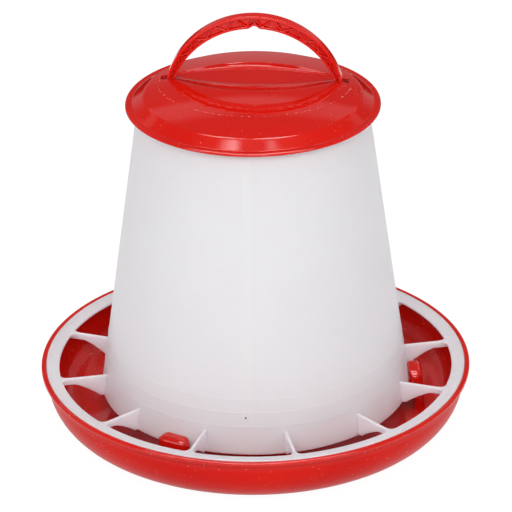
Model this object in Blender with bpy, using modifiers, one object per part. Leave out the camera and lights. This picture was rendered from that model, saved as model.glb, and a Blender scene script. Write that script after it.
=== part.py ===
"""Poultry feeder: a tray, a hopper with its feeding grid, a lid and a carrying handle.

Four injection mouldings. The tray holds the feed and has three hooks. The hopper is a tapered tube
with a skirt, twelve webs and a ring in one piece, and its three lugs sit under the hooks. The lid
caps the hopper, and the handle snaps through two slots in it. The floor is z = 0, the feeder's axis
is the z axis and the handle runs along x. All sizes are in metres.
"""

import math

import bpy
import bmesh

# Shared sizes
FACETS = 60  # flat sides of every turned form
GAP = 0.0003  # clearance between two mouldings that touch
OVERRUN = 0.0100  # how far a cutter reaches past what it cuts
BITE = 0.0002  # how far a joined form reaches into its carrier
HAIR = 0.00005  # step that keeps two joined faces apart

# Tray
TRAY_LIP_R = 0.1375
TRAY_RIM_Z = 0.035  # height of the lip's outer edge above the floor
TRAY_LIP_OVER = 0.0040  # overhang of the lip outside the wall
TRAY_WALL = 0.002
TRAY_HEEL_R = 0.028  # radius between the wall and the floor, outside
TRAY_LIP_RISE = 0.0011  # crest of the lip above its outer edge
TRAY_LIP_EDGE = 0.0010  # height of the lip's outer edge
TRAY_LIP_DEPTH = 0.0026  # from the rim plane down to where the lip leaves the wall
SEAT_W = 0.0030  # width of the ledge that carries the ring
SEAT_DROP = 0.0009  # ledge below the rim plane
CONE_IN = 0.0268  # foot of the cone that spreads the feed, inside the skirt
CONE_H = 0.0280  # height of the cone above the tray's floor
CONE_NOSE_R = 0.0080
CONE_NOSE_DROP = 0.0014
CONE_FOOT_W = 0.0030  # run of the cone's foot into the floor
CONE_FOOT_H = 0.0006

# Hooks of the tray
HOOK_COUNT = 3
HOOK_ANGLE = math.radians(5.0)  # the first hook, from the x axis
HOOK_W = 0.0200
HOOK_REACH = 0.0082  # outer face at the top, outside the skirt's foot
HOOK_DRAFT = 0.0020  # outer face at the tray's floor, outside the face at the top
HOOK_POST = 0.0054  # radial thickness of the post at the top
HOOK_BAR = 0.0040  # thickness of the bar that reaches in
HOOK_TOP_DROP = 0.0067  # top of the hook below the rim plane
HOOK_ROUND = 0.0032
HOOK_CORNER = 0.0035  # corners of a hook in plan
HOOK_END_DRAFT = 0.0010  # half width at the tray's floor, more than at the top
HOOK_LIP = 0.0010  # bevel along the bar's inner edge

# Hopper
HOPPER_TOP_R = 0.07155
HOPPER_FOOT_Z = 0.0201
HOPPER_WALL = 0.0020
CREASE_Z = 0.0390  # height where the webs meet the tube
BEAD_OUT = 0.00015  # step of the fine rings round the tube's foot
BEAD_Z = (0.0481, 0.0568)

# Feeding grid of the hopper
BAY_COUNT = 12
BAY_L = 0.02707  # from the skirt's foot out to the ring
WEB_T = 0.0020
RING_W = 0.0082  # width of the ring inside the tray's lip
RING_T = 0.0015  # plate at the ring's inner edge
RING_EDGE_T = 0.0018  # plate at the ring's outer edge
RING_IN_DROP = 0.00045  # ring's inner edge below the rim plane
RING_OUT_RISE = 0.0012  # ring's outer edge above the rim plane
RING_TAPER = 0.0025  # run from the ledge to the thin plate
BAY_FILLET = 0.0040
WEB_END_H = 0.0044  # height of a web at the ring
WEB_FLAT = 0.0135  # level stretch under a web, inside the tray's wall
WEB_ARCH_FOOT = 0.0024  # foot of the arch outside the skirt
WEB_ARCH_LIFT = 0.0008  # foot of the arch above the skirt's foot
WEB_ARCH_POWER = 1.35  # 1 is straight, 2 a parabola
WEB_ARCH_STEPS = 6
WEB_END_DROP = 0.0007  # end of a web below the ring's top
STUB = 0.0045  # length of the ring's corners along a web

# Lugs of the hopper
LUG_W = 0.0140
LUG_T = 0.0020

# Lid
LID_FLANGE_OVER = 0.0079  # edge of the flange outside the hopper's rim
LID_FLANGE_Z = 0.2142  # lower edge of the flange
LID_FLANGE_T = 0.0019
LID_FLANGE_ROUND = 0.0014
LID_NECK_OVER = 0.0038  # foot of the side outside the hopper's rim
LID_NECK_ROUND = 0.0015
LID_RIDGE_IN = 0.0037  # ridge between crown and side, inside the hopper's rim
LID_RIDGE_Z = 0.2212
LID_RIDGE_ROUND = 0.0055
LID_TOP_Z = 0.2270
LID_WALL = 0.0020
LID_SEAT_RISE = 0.0021  # the hopper's rim stands this far inside the flange
LID_COLLAR_T = 0.0016  # collar that goes into the hopper's mouth
LID_COLLAR_H = 0.0050  # collar below the seat
LID_LEAD = 0.0005  # chamfers at the mouth

# Finger recess in the lid
HANDLE_Y = 0.0200  # the handle's plane, behind the feeder's axis
RECESS_FLOOR_Z = 0.2225
RECESS_BEHIND = 0.0205  # middle of the far wall behind the handle's plane
RECESS_BEFORE = 0.0080  # start of the near ramp before the handle's plane
RECESS_END = 0.0020  # end of the far wall's chord inside the handle's foot
RECESS_RAMP = math.radians(12.2)

# Handle
HANDLE_RISE = 0.0430  # apex above the recess's floor
HANDLE_FOOT_OUT = 0.0550
HANDLE_FOOT_IN = 0.0500
HANDLE_INNER_RISE = 0.03465  # apex of the underside above the feet
HANDLE_W = 0.0068  # depth of the flanges along y
FLANGE_OUT_T = 0.0019
FLANGE_IN_T = 0.0014
RIB_W = 0.0056  # depth of the ribs along y
HANDLE_WEB_T = 0.0016
RIB_T = 0.0010
NOTCH_RISE = 0.0019  # height of the hanging notch above the arch
NOTCH_HALF_W = 0.0037
FOOT_SOLE = 0.0012  # solid end of each leg
NOTCH_SIDE = ((1.0, 0.0), (0.55, 0.55), (0.25, 0.92))  # share of the notch's half width and rise
RIB_NODES = (0.0, 4.9, 13.0, 18.3, 28.8, 33.1, 44.6, 46.9, 59.6, 59.2)  # degrees from the apex
TONGUE_T = 0.0029
TONGUE_L = 0.0060
BARB = 0.0014
SLOT_OUT = 0.0040  # open length of a slot outside the leg
SLOT_W = 0.0074

# Colours, linear
RED = (0.672, 0.024, 0.014)
MILK = (0.790, 0.790, 0.780)


def clear_scene():
    """Remove whatever the scene holds."""
    for item in list(bpy.data.objects):
        bpy.data.objects.remove(item, do_unlink=True)


def new_collection(name):
    """Add a collection to the scene."""
    group = bpy.data.collections.new(name)
    bpy.context.scene.collection.children.link(group)
    return group


def plastic(name, colour, roughness):
    """A moulded plastic."""
    material = bpy.data.materials.new(name)
    material.use_nodes = True
    shader = material.node_tree.nodes["Principled BSDF"]
    shader.inputs["Base Color"].default_value = (*colour, 1.0)
    shader.inputs["Roughness"].default_value = roughness
    shader.inputs["Metallic"].default_value = 0.0
    return material


def add_object(name, mesh, group):
    """Put a mesh into the scene as an object of its own."""
    item = bpy.data.objects.new(name, mesh)
    group.objects.link(item)
    return item


def as_tool(item):
    """Mark an object that only shapes others."""
    item.hide_render = True
    item.display_type = "WIRE"
    return item


def arc(centre_r, centre_z, radius, start, end, steps):
    """Points on an arc in the section plane, angles in degrees from the outward direction."""
    angles = [math.radians(start + (end - start) * i / steps) for i in range(steps + 1)]
    return [(centre_r + radius * math.cos(a), centre_z + radius * math.sin(a)) for a in angles]


def corner(before, point, after, radius, steps):
    """Points that round a corner of a section, from the side before it to the side after it."""
    to_before = (before[0] - point[0], before[1] - point[1])
    to_after = (after[0] - point[0], after[1] - point[1])
    first, second = math.atan2(to_before[1], to_before[0]), math.atan2(to_after[1], to_after[0])
    opening = (second - first + math.pi) % math.tau - math.pi
    middle = first + opening / 2.0
    reach = radius / math.sin(abs(opening) / 2.0)
    centre = (point[0] + reach * math.cos(middle), point[1] + reach * math.sin(middle))
    sweep = math.copysign(math.pi - abs(opening), opening)
    start = math.degrees(middle + math.pi + sweep / 2.0)
    return arc(centre[0], centre[1], radius, start, start - math.degrees(sweep), steps)


def turned(name, section, group, closed=False):
    """Turn a section of (radius, height) points round the z axis."""
    mesh = bpy.data.meshes.new(name)
    count = len(section)
    edges = [(i, i + 1) for i in range(count - 1)]
    if closed:
        edges.append((count - 1, 0))
    mesh.from_pydata([(r, 0.0, z) for r, z in section], edges, [])
    item = add_object(name, mesh, group)
    screw = item.modifiers.new("turn", "SCREW")
    screw.axis = "Z"
    screw.angle = math.tau
    screw.steps = FACETS
    screw.render_steps = FACETS
    screw.use_merge_vertices = True
    screw.merge_threshold = 0.00001
    screw.use_smooth_shade = True
    return item


def boolean(item, other, operation):
    """Cut, join or intersect an object with another."""
    change = item.modifiers.new(operation.lower() + "_" + other.name, "BOOLEAN")
    change.operation = operation
    change.object = other
    change.solver = "EXACT"


def mesh_of(item, group):
    """Replace a curve object by a mesh object of the same shape."""
    bpy.context.view_layer.update()
    graph = bpy.context.evaluated_depsgraph_get()
    mesh = bpy.data.meshes.new_from_object(item.evaluated_get(graph))
    work = bmesh.new()
    work.from_mesh(mesh)
    bmesh.ops.remove_doubles(work, verts=work.verts, dist=0.000005)
    bmesh.ops.recalc_face_normals(work, faces=work.faces)
    work.to_mesh(mesh)
    work.free()
    solid = add_object(item.name + "_solid", mesh, group)
    solid.matrix_world = item.matrix_world.copy()
    bpy.data.objects.remove(item, do_unlink=True)
    return solid


def plate(name, outlines, low, high, group, upright_y=None):
    """Extrude flat outlines. They lie in x, y between two heights, or stand in x, z about a y."""
    curve = bpy.data.curves.new(name, "CURVE")
    curve.dimensions = "2D"
    curve.fill_mode = "BOTH"
    curve.extrude = (high - low) / 2.0
    for points in outlines:
        spline = curve.splines.new("POLY")
        spline.points.add(len(points) - 1)
        for place, (a, b) in zip(spline.points, points):
            place.co = (a, b, 0.0, 1.0)
        spline.use_cyclic_u = True
    item = add_object(name, curve, group)
    middle = (high + low) / 2.0
    if upright_y is None:
        item.location = (0.0, 0.0, middle)
    else:
        item.rotation_euler = (math.radians(90.0), 0.0, 0.0)
        item.location = (0.0, upright_y - middle, 0.0)
    return mesh_of(item, group)


def rotated(points, angle):
    """Turn plan points about the feeder's axis."""
    c, s = math.cos(angle), math.sin(angle)
    return [(c * x - s * y, s * x + c * y) for x, y in points]


def hopper_r(z):
    """Outer radius of the hopper's tube at a height."""
    share = (hopper_top_z() - z) / (hopper_top_z() - HOPPER_FOOT_Z)
    return HOPPER_TOP_R + (hopper_foot_r() - HOPPER_TOP_R) * share


def seat_z():
    """Flat inside the lid that rests on the hopper's rim."""
    return LID_FLANGE_Z + LID_SEAT_RISE


def hopper_top_z():
    """The hopper's rim stands just under the lid's seat."""
    return seat_z() - GAP


def hopper_foot_r():
    """Outer radius of the skirt's foot, one bay inside the ring."""
    return ring_in_r() - BAY_L


def wall_middle(z):
    """A point in the middle of the hopper's wall."""
    return (hopper_r(z) - HOPPER_WALL / 2.0, z)


def hook_angles():
    """Directions of the hooks and of the lugs under them."""
    return [HOOK_ANGLE + math.tau * i / HOOK_COUNT for i in range(HOOK_COUNT)]


def sectors(name, width, inner, outer, low, high, group):
    """Blocks that pick one stretch of a turned ring at each hook."""
    block = [(inner, -width / 2.0), (outer, -width / 2.0), (outer, width / 2.0), (inner, width / 2.0)]
    outlines = [rotated(block, angle) for angle in hook_angles()]
    return as_tool(plate(name, outlines, low, high, group))


def wall_r():
    """Outer radius of the tray's wall."""
    return TRAY_LIP_R - TRAY_LIP_OVER


def seat_r():
    """Inner radius of the tray's wall, where the ledge begins."""
    return wall_r() - TRAY_WALL


def heel_r():
    """Radius where the tray's flat floor ends."""
    return wall_r() - TRAY_HEEL_R


def floor_z(r):
    """Height of the middle of the tray's floor and heel at a radius."""
    if r <= heel_r():
        return TRAY_WALL / 2.0
    bend = TRAY_HEEL_R - TRAY_WALL / 2.0
    return TRAY_HEEL_R - math.sqrt(max(bend ** 2 - (r - heel_r()) ** 2, 0.0))


def tray_section():
    """Section of the tray, from its cone over the lip to the underside."""
    floor = TRAY_WALL
    heel_in = TRAY_HEEL_R - TRAY_WALL
    ledge_z = TRAY_RIM_Z - SEAT_DROP
    lip_in = seat_r() + SEAT_W
    crest = (lip_in + (TRAY_LIP_R - lip_in) * 0.4, TRAY_RIM_Z + TRAY_LIP_RISE)
    cone_r = hopper_foot_r() - CONE_IN
    nose_z = floor + CONE_H
    points = [(0.0, nose_z), (CONE_NOSE_R * 0.6, nose_z - CONE_NOSE_DROP * 0.3)]
    points += [(CONE_NOSE_R, nose_z - CONE_NOSE_DROP)]
    points += [(cone_r, floor + CONE_FOOT_H), (cone_r + CONE_FOOT_W, floor)]
    points += arc(heel_r(), TRAY_HEEL_R, heel_in, -90.0, 0.0, 6)
    points += [(seat_r(), ledge_z), (lip_in, ledge_z), (lip_in, TRAY_RIM_Z + TRAY_LIP_RISE * 0.6)]
    points += [crest, (TRAY_LIP_R - TRAY_LIP_OVER * 0.18, TRAY_RIM_Z + TRAY_LIP_RISE * 0.75)]
    points += [(TRAY_LIP_R, TRAY_RIM_Z), (TRAY_LIP_R, TRAY_RIM_Z - TRAY_LIP_EDGE)]
    points += [(wall_r() + TRAY_LIP_OVER * 0.25, TRAY_RIM_Z - TRAY_LIP_DEPTH * 0.7)]
    points += [(wall_r(), TRAY_RIM_Z - TRAY_LIP_DEPTH)]
    points += arc(heel_r(), TRAY_HEEL_R, TRAY_HEEL_R, 0.0, -90.0, 6)
    points += [(cone_r + CONE_FOOT_W + TRAY_WALL * 0.2, 0.0), (cone_r - TRAY_WALL * 0.6, CONE_FOOT_H)]
    points += [(CONE_NOSE_R, nose_z - CONE_NOSE_DROP - TRAY_WALL), (0.0, nose_z - TRAY_WALL)]
    return points


def hook_top_z():
    """Top of the hooks."""
    return TRAY_RIM_Z - HOOK_TOP_DROP


def hook_out_r():
    """Outer face of the hooks at the top."""
    return hopper_foot_r() + HOOK_REACH


def hook_section():
    """Section of a hook: a post with a bar that reaches in to the hopper's skirt."""
    top = hook_top_z()
    under = top - HOOK_BAR
    out = hook_out_r()
    foot_r = out + HOOK_DRAFT
    post_in = out - HOOK_POST
    bevel = HOOK_LIP * 0.6
    points = [(hopper_r(top - bevel) + GAP, top - bevel), (hopper_r(top) + GAP + HOOK_LIP, top)]
    points += corner(points[-1], (out, top), (foot_r, 0.0), HOOK_ROUND, 5)
    points += [(foot_r, floor_z(foot_r)), (post_in, floor_z(post_in)), (post_in, under)]
    points += [(hopper_r(under) + GAP, under)]
    return points


def hook_plan(z):
    """Plan of a hook's block at a height, its corners rounded; it grows towards the tray's floor."""
    share = (hook_top_z() - z) / hook_top_z()
    half = HOOK_W / 2.0 + HOOK_END_DRAFT * share
    inner = hopper_r(hook_top_z())
    outer = hook_out_r() + BITE * 2.0 + HOOK_DRAFT * share
    round_r = HOOK_CORNER
    points = arc(outer - round_r, half - round_r, round_r, 0.0, 90.0, 3)
    points += arc(inner + round_r, half - round_r, round_r, 90.0, 180.0, 3)
    return points + [(x, -y) for x, y in reversed(points)]


def hook_blocks(group):
    """Blocks that give the hooks their ends."""
    low, high = -OVERRUN, hook_top_z() + OVERRUN
    mesh = bpy.data.meshes.new("hook_blocks")
    work = bmesh.new()
    for angle in hook_angles():
        levels = []
        for z in (low, high):
            levels.append([work.verts.new((x, y, z)) for x, y in rotated(hook_plan(z), angle)])
        count = len(levels[0])
        work.faces.new(levels[0][::-1])
        work.faces.new(levels[1])
        for i in range(count):
            j = (i + 1) % count
            work.faces.new((levels[0][i], levels[0][j], levels[1][j], levels[1][i]))
    bmesh.ops.recalc_face_normals(work, faces=work.faces)
    work.to_mesh(mesh)
    work.free()
    return as_tool(add_object("hook_blocks", mesh, group))


def lug_section():
    """Section of a lug, which lies under a hook's bar."""
    top = hook_top_z() - HOOK_BAR - GAP
    low = top - LUG_T
    out = hook_out_r() - HOOK_POST - GAP
    return [wall_middle(top), (out, top), (out, top - LUG_T * 0.6), wall_middle(low - LUG_T * 0.5)]


def hopper_section():
    """Section of the hopper's tube, with fine rings above its crease."""
    top = hopper_top_z()
    points = [(hopper_r(top), top)]
    for z in sorted(BEAD_Z, reverse=True) + [CREASE_Z]:
        points.append((hopper_r(z), z))
        points.append((hopper_r(z - BEAD_OUT) + BEAD_OUT, z - BEAD_OUT))
    points += [(hopper_foot_r(), HOPPER_FOOT_Z), (hopper_foot_r() - HOPPER_WALL, HOPPER_FOOT_Z)]
    points += [(hopper_r(top) - HOPPER_WALL, top)]
    return points


def ring_out_r():
    """The ring lies inside the tray's lip."""
    return seat_r() + SEAT_W - GAP


def ring_in_r():
    """Inner edge of the ring, which is the outer end of the bays."""
    return ring_out_r() - RING_W


def ring_z(r):
    """Height of the grid's top at a radius: down along the webs, then up across the ring."""
    inner_z = TRAY_RIM_Z - RING_IN_DROP
    if r < ring_in_r():
        start = hopper_r(CREASE_Z)
        return CREASE_Z + (inner_z - CREASE_Z) * (r - start) / (ring_in_r() - start)
    rise = RING_IN_DROP + RING_OUT_RISE
    return inner_z + rise * (r - ring_in_r()) / RING_W


def ring_section():
    """Section of the ring, with the stretch inside it that leaves the corners of the bays."""
    inner = ring_in_r() - STUB
    edge = ring_out_r()
    under = ring_z(edge) - RING_EDGE_T
    points = [(inner, ring_z(inner) - HAIR), (ring_in_r(), ring_z(ring_in_r()) - HAIR)]
    points += [(edge, ring_z(edge)), (edge, under), (seat_r() + GAP, under)]
    points += [(seat_r() - RING_TAPER, ring_z(ring_in_r()) - RING_T), (inner, ring_z(inner) - RING_T)]
    return points


def bay_outline(direction):
    """Plan of one feeding bay between two webs, its outer corners rounded."""
    half = math.pi / BAY_COUNT
    side = WEB_T / 2.0 - BITE
    reach = ring_in_r() - BAY_FILLET
    inner = ring_in_r() - STUB - BAY_FILLET
    lean = side + BAY_FILLET
    centre_x = math.sqrt(reach ** 2 - lean ** 2)
    start = math.atan2(lean, centre_x)
    fillet = []
    for i in range(4):
        turn = -math.pi / 2.0 + (start + math.pi / 2.0) * i / 3.0
        fillet.append((centre_x + BAY_FILLET * math.cos(turn), lean + BAY_FILLET * math.sin(turn)))
    right = rotated([(inner, side)] + fillet, -half)
    left = [(x, -y) for x, y in reversed(right)]
    sweep = 2.0 * (half - start)
    middle = [rotated([(ring_in_r(), 0.0)], -sweep / 2.0 + sweep * i / 6.0)[0] for i in range(1, 6)]
    return rotated(right + middle + left, direction)


def web_outline():
    """Side of one web: straight along its top, arched underneath."""
    end = seat_r() - GAP
    low = ring_z(ring_in_r()) - WEB_END_H
    foot_r = hopper_foot_r() + WEB_ARCH_FOOT
    arch_r = max(seat_r() - WEB_FLAT, foot_r + WEB_ARCH_FOOT)
    drop = low - HOPPER_FOOT_Z - WEB_ARCH_LIFT
    points = [wall_middle(CREASE_Z), (hopper_r(CREASE_Z), CREASE_Z), (ring_in_r(), ring_z(ring_in_r()))]
    points += [(end, ring_z(end) - WEB_END_DROP), (end, low)]
    for i in range(WEB_ARCH_STEPS + 1):
        share = i / WEB_ARCH_STEPS
        points.append((arch_r + (foot_r - arch_r) * share, low - drop * share ** WEB_ARCH_POWER))
    points += [wall_middle(HOPPER_FOOT_Z + WEB_ARCH_LIFT * 0.7)]
    return points


def add_webs(group):
    """The webs of the feeding grid, one at each side of every bay."""
    first = plate("web", [web_outline()], -WEB_T / 2.0, WEB_T / 2.0, group, upright_y=0.0)
    work = bmesh.new()
    for i in range(BAY_COUNT):
        copy = bmesh.new()
        copy.from_mesh(first.data)
        copy.transform(first.matrix_world)
        turn = math.tau * (i + 0.5) / BAY_COUNT
        c, s = math.cos(turn), math.sin(turn)
        for vert in copy.verts:
            x, y, z = vert.co
            vert.co = (c * x - s * y, s * x + c * y, z)
        part = bpy.data.meshes.new("web_copy")
        copy.to_mesh(part)
        copy.free()
        work.from_mesh(part)
        bpy.data.meshes.remove(part)
    mesh = bpy.data.meshes.new("webs")
    work.to_mesh(mesh)
    work.free()
    bpy.data.objects.remove(first, do_unlink=True)
    return as_tool(add_object("webs", mesh, group))


def ridge_r():
    """Radius of the ridge between the lid's crown and its side."""
    return HOPPER_TOP_R - LID_RIDGE_IN


def crown_z(r, drop=0.0):
    """Height of the lid's crown at a radius, a shallow sphere that ends at the ridge."""
    rise = LID_TOP_Z - LID_RIDGE_Z
    radius = (ridge_r() ** 2 + rise ** 2) / (2.0 * rise)
    return LID_TOP_Z - drop - radius + math.sqrt(radius ** 2 - r ** 2)


def lid_outer_section():
    """Outside of the lid from its crown to the flange, closed below the collar."""
    flange_r = HOPPER_TOP_R + LID_FLANGE_OVER
    flange_top = LID_FLANGE_Z + LID_FLANGE_T
    neck = (HOPPER_TOP_R + LID_NECK_OVER, flange_top)
    ridge = (ridge_r(), LID_RIDGE_Z)
    before = (ridge[0] * 0.96, crown_z(ridge[0] * 0.96))
    rounding = corner(before, ridge, neck, LID_RIDGE_ROUND, 4)
    last = rounding[0][0] * 0.985
    points = [(last * i / 6.0, crown_z(last * i / 6.0)) for i in range(7)]
    points += rounding
    points += corner(ridge, neck, (flange_r, flange_top), LID_NECK_ROUND, 2)
    points += corner(neck, (flange_r, flange_top), (flange_r, LID_FLANGE_Z), LID_FLANGE_ROUND, 3)
    foot_z = seat_z() - LID_COLLAR_H
    points += [(flange_r, LID_FLANGE_Z), (HOPPER_TOP_R, LID_FLANGE_Z), (collar_out_r(), LID_FLANGE_Z)]
    points += [(collar_out_r(), foot_z + LID_LEAD), (collar_out_r() - LID_LEAD, foot_z), (0.0, foot_z)]
    return points


def collar_out_r():
    """Outer radius of the collar that goes into the hopper's mouth."""
    return HOPPER_TOP_R - HOPPER_WALL - GAP


def lid_inner_section():
    """Hollow of the lid: its ceiling and the inside of the collar."""
    inner = collar_out_r() - LID_COLLAR_T
    last = inner - LID_COLLAR_T * 0.75
    points = [(last * i / 5.0, crown_z(last * i / 5.0, LID_WALL)) for i in range(6)]
    points += [(inner, crown_z(inner, LID_WALL * 1.25)), (inner, seat_z() - LID_COLLAR_H - OVERRUN)]
    return points + [(0.0, seat_z() - LID_COLLAR_H - OVERRUN)]


def lid_groove_section():
    """Groove between the collar and the flange that takes the hopper's rim."""
    low = LID_FLANGE_Z - OVERRUN
    mouth = hopper_r(LID_FLANGE_Z) + GAP
    points = [(collar_out_r(), seat_z()), (HOPPER_TOP_R + GAP, seat_z()), (mouth, LID_FLANGE_Z + LID_LEAD)]
    return points + [(mouth + LID_LEAD, LID_FLANGE_Z), (mouth + LID_LEAD, low), (collar_out_r(), low)]


def recess_plan(grow):
    """Plan of the finger recess: an arc far from the front, open towards it."""
    far = RECESS_BEHIND - HANDLE_W / 2.0 - GAP
    half = HANDLE_FOOT_OUT - RECESS_END
    radius = (half ** 2 + far ** 2) / (2.0 * far)
    centre = HANDLE_Y + RECESS_BEHIND - radius
    reach = math.asin(half / radius) * 1.35
    turns = [-reach + 2.0 * reach * i / 16.0 for i in range(17)]
    points = [((radius + grow) * math.sin(t), centre + (radius + grow) * math.cos(t)) for t in turns]
    edge = points[-1][0]
    near = -ridge_r()
    return points + [(edge, near), (-edge, near)]


def recess_side(grow):
    """Section of the recess across the handle: the level floor and the ramp at the front."""
    floor = RECESS_FLOOR_Z - grow
    high = LID_TOP_Z + OVERRUN
    ramp_y = HANDLE_Y - RECESS_BEFORE - grow * math.tan(RECESS_RAMP / 2.0)
    ramp_end = ramp_y - (high - floor) / math.tan(RECESS_RAMP)
    far = ridge_r()
    return [(ramp_end, high), (ramp_y, floor), (far, floor), (far, high)]


def recess_tool(name, grow, group):
    """The space of the finger recess, or with a growth the same with a wall round it."""
    space = plate(name, [recess_plan(grow)], RECESS_FLOOR_Z - OVERRUN, LID_TOP_Z + OVERRUN * 0.5, group)
    half = ridge_r()
    side = plate(name + "_side", [recess_side(grow)], -half, half, group, upright_y=0.0)
    side.rotation_euler = (math.radians(90.0), 0.0, math.radians(90.0))
    boolean(space, as_tool(side), "INTERSECT")
    return as_tool(space)


def slot_tool(group):
    """The two slots for the handle's legs."""
    near = leg_in() - GAP
    far = HANDLE_FOOT_OUT + SLOT_OUT
    low = HANDLE_Y - SLOT_W / 2.0
    high = HANDLE_Y + SLOT_W / 2.0
    right = [(near, low), (far, low), (far, high), (near, high)]
    left = [(-x, y) for x, y in right]
    return as_tool(plate("slots", [right, left], RECESS_FLOOR_Z - LID_WALL * 4.0, LID_TOP_Z + OVERRUN, group))


def leg_in():
    """Inner face of the tongue that goes through a slot."""
    return HANDLE_FOOT_OUT - BITE - TONGUE_T


def arch_over(half, rise):
    """Centre height and radius of an arch over the recess's floor, from half its span and its rise."""
    radius = (half ** 2 + rise ** 2) / (2.0 * rise)
    return RECESS_FLOOR_Z + GAP + rise - radius, radius


def outer_arch():
    """The handle's outer edge."""
    return arch_over(HANDLE_FOOT_OUT, HANDLE_RISE)


def inner_arch():
    """The handle's underside."""
    return arch_over(HANDLE_FOOT_IN, HANDLE_INNER_RISE)


def arch_points(arch, inset, base, steps):
    """Points along an arch from its left end to its right, ending at a height."""
    centre, radius = arch[0], arch[1] + inset
    end = math.acos((base - centre) / radius)
    turns = [-end + 2.0 * end * i / steps for i in range(steps + 1)]
    return [(radius * math.sin(t), centre + radius * math.cos(t)) for t in turns]


def notched(points, arch, inset):
    """The underside with the notch that hangs on a hook at the apex."""
    apex = arch[0] + arch[1] + inset
    half = NOTCH_HALF_W + inset * 0.4
    form = [(-share, rise) for share, rise in NOTCH_SIDE] + [(0.0, 1.0)] + list(reversed(NOTCH_SIDE))
    wave = [(half * share, apex + NOTCH_RISE * rise) for share, rise in form]
    left = [p for p in points if p[0] < -half * 1.25]
    right = [p for p in points if p[0] > half * 1.25]
    return left + wave + right


def band(outer_inset, inner_inset, base):
    """Outline between the two arches, drawn in from each."""
    top = arch_points(outer_arch(), -outer_inset, base, 28)
    low = arch_points(inner_arch(), inner_inset, base, 28)
    low = notched(low, inner_arch(), inner_inset)
    return top + list(reversed(low))


def node_point(index):
    """One end of a rib: even ends lie on the outer flange, odd ones on the inner."""
    angle = math.radians(RIB_NODES[index])
    if index % 2 == 0:
        centre, radius = outer_arch()
        radius -= FLANGE_OUT_T * 0.5
    else:
        centre, radius = inner_arch()
        radius += FLANGE_IN_T * 0.5
        if index == 1:
            radius += NOTCH_RISE * 0.2
    return (radius * math.sin(angle), centre + radius * math.cos(angle))


def rib_outline(index, mirror):
    """A straight rib between two ends."""
    (x0, z0), (x1, z1) = node_point(index), node_point(index + 1)
    length = math.hypot(x1 - x0, z1 - z0)
    across = (-(z1 - z0) / length * RIB_T / 2.0, (x1 - x0) / length * RIB_T / 2.0)
    points = [(x0 + across[0], z0 + across[1]), (x1 + across[0], z1 + across[1])]
    points += [(x1 - across[0], z1 - across[1]), (x0 - across[0], z0 - across[1])]
    return [(mirror * x, z) for x, z in points]


def add_ribs(item, group):
    """Zigzag ribs on both faces of the handle's web."""
    half = RIB_W / 2.0
    for mirror, side in ((1.0, "right"), (-1.0, "left")):
        for i in range(len(RIB_NODES) - 1):
            rib = plate(f"rib_{side}_{i}", [rib_outline(i, mirror)], -half, half, group, upright_y=HANDLE_Y)
            boolean(item, as_tool(rib), "UNION")


def tongue_outline():
    """The end of a leg: through the slot, with a barb that grips the lid from below."""
    out = HANDLE_FOOT_OUT - BITE
    inner = leg_in()
    grip = RECESS_FLOOR_Z - LID_WALL - GAP
    tip = grip - TONGUE_L + LID_WALL
    top = RECESS_FLOOR_Z + FOOT_SOLE * 0.6
    bevel = BARB * 0.6
    points = [(out, top), (out, tip + bevel), (out - bevel, tip), (inner, tip)]
    return points + [(inner - BARB, grip - bevel), (inner - BARB, grip), (inner, grip), (inner, top)]


def build_tray(group, tools, material):
    """The tray with its three hooks."""
    tray = turned("tray", tray_section(), group)
    ring = turned("hook_ring", hook_section(), tools, closed=True)
    boolean(ring, hook_blocks(tools), "INTERSECT")
    boolean(tray, as_tool(ring), "UNION")
    tray.data.materials.append(material)
    return tray


def build_hopper(group, tools, material):
    """The hopper with its skirt, webs, ring and lugs in one moulding."""
    hopper = turned("hopper", hopper_section(), group, closed=True)
    ring = turned("ring", ring_section(), tools, closed=True)
    bays = [bay_outline(math.tau * i / BAY_COUNT) for i in range(BAY_COUNT)]
    boolean(ring, as_tool(plate("bays", bays, HOPPER_FOOT_Z, CREASE_Z + OVERRUN, tools)), "DIFFERENCE")
    lugs = turned("lug_ring", lug_section(), tools, closed=True)
    inner, outer = hopper_r(CREASE_Z) - OVERRUN, hook_out_r() + OVERRUN
    boolean(lugs, sectors("lug_blocks", LUG_W, inner, outer, -OVERRUN, CREASE_Z, tools), "INTERSECT")
    webs = add_webs(tools)
    boolean(webs, as_tool(ring), "UNION")
    boolean(hopper, webs, "UNION")
    boolean(hopper, as_tool(lugs), "UNION")
    hopper.data.materials.append(material)
    return hopper


def build_lid(group, tools, material):
    """The lid with its collar, finger recess and slots."""
    lid = turned("lid", lid_outer_section(), group)
    hollow = turned("lid_hollow", lid_inner_section(), tools)
    boolean(hollow, recess_tool("recess_wall", LID_WALL, tools), "DIFFERENCE")
    boolean(lid, as_tool(hollow), "DIFFERENCE")
    boolean(lid, as_tool(turned("lid_groove", lid_groove_section(), tools, closed=True)), "DIFFERENCE")
    boolean(lid, recess_tool("recess", 0.0, tools), "DIFFERENCE")
    boolean(lid, slot_tool(tools), "DIFFERENCE")
    lid.data.materials.append(material)
    return lid


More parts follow.
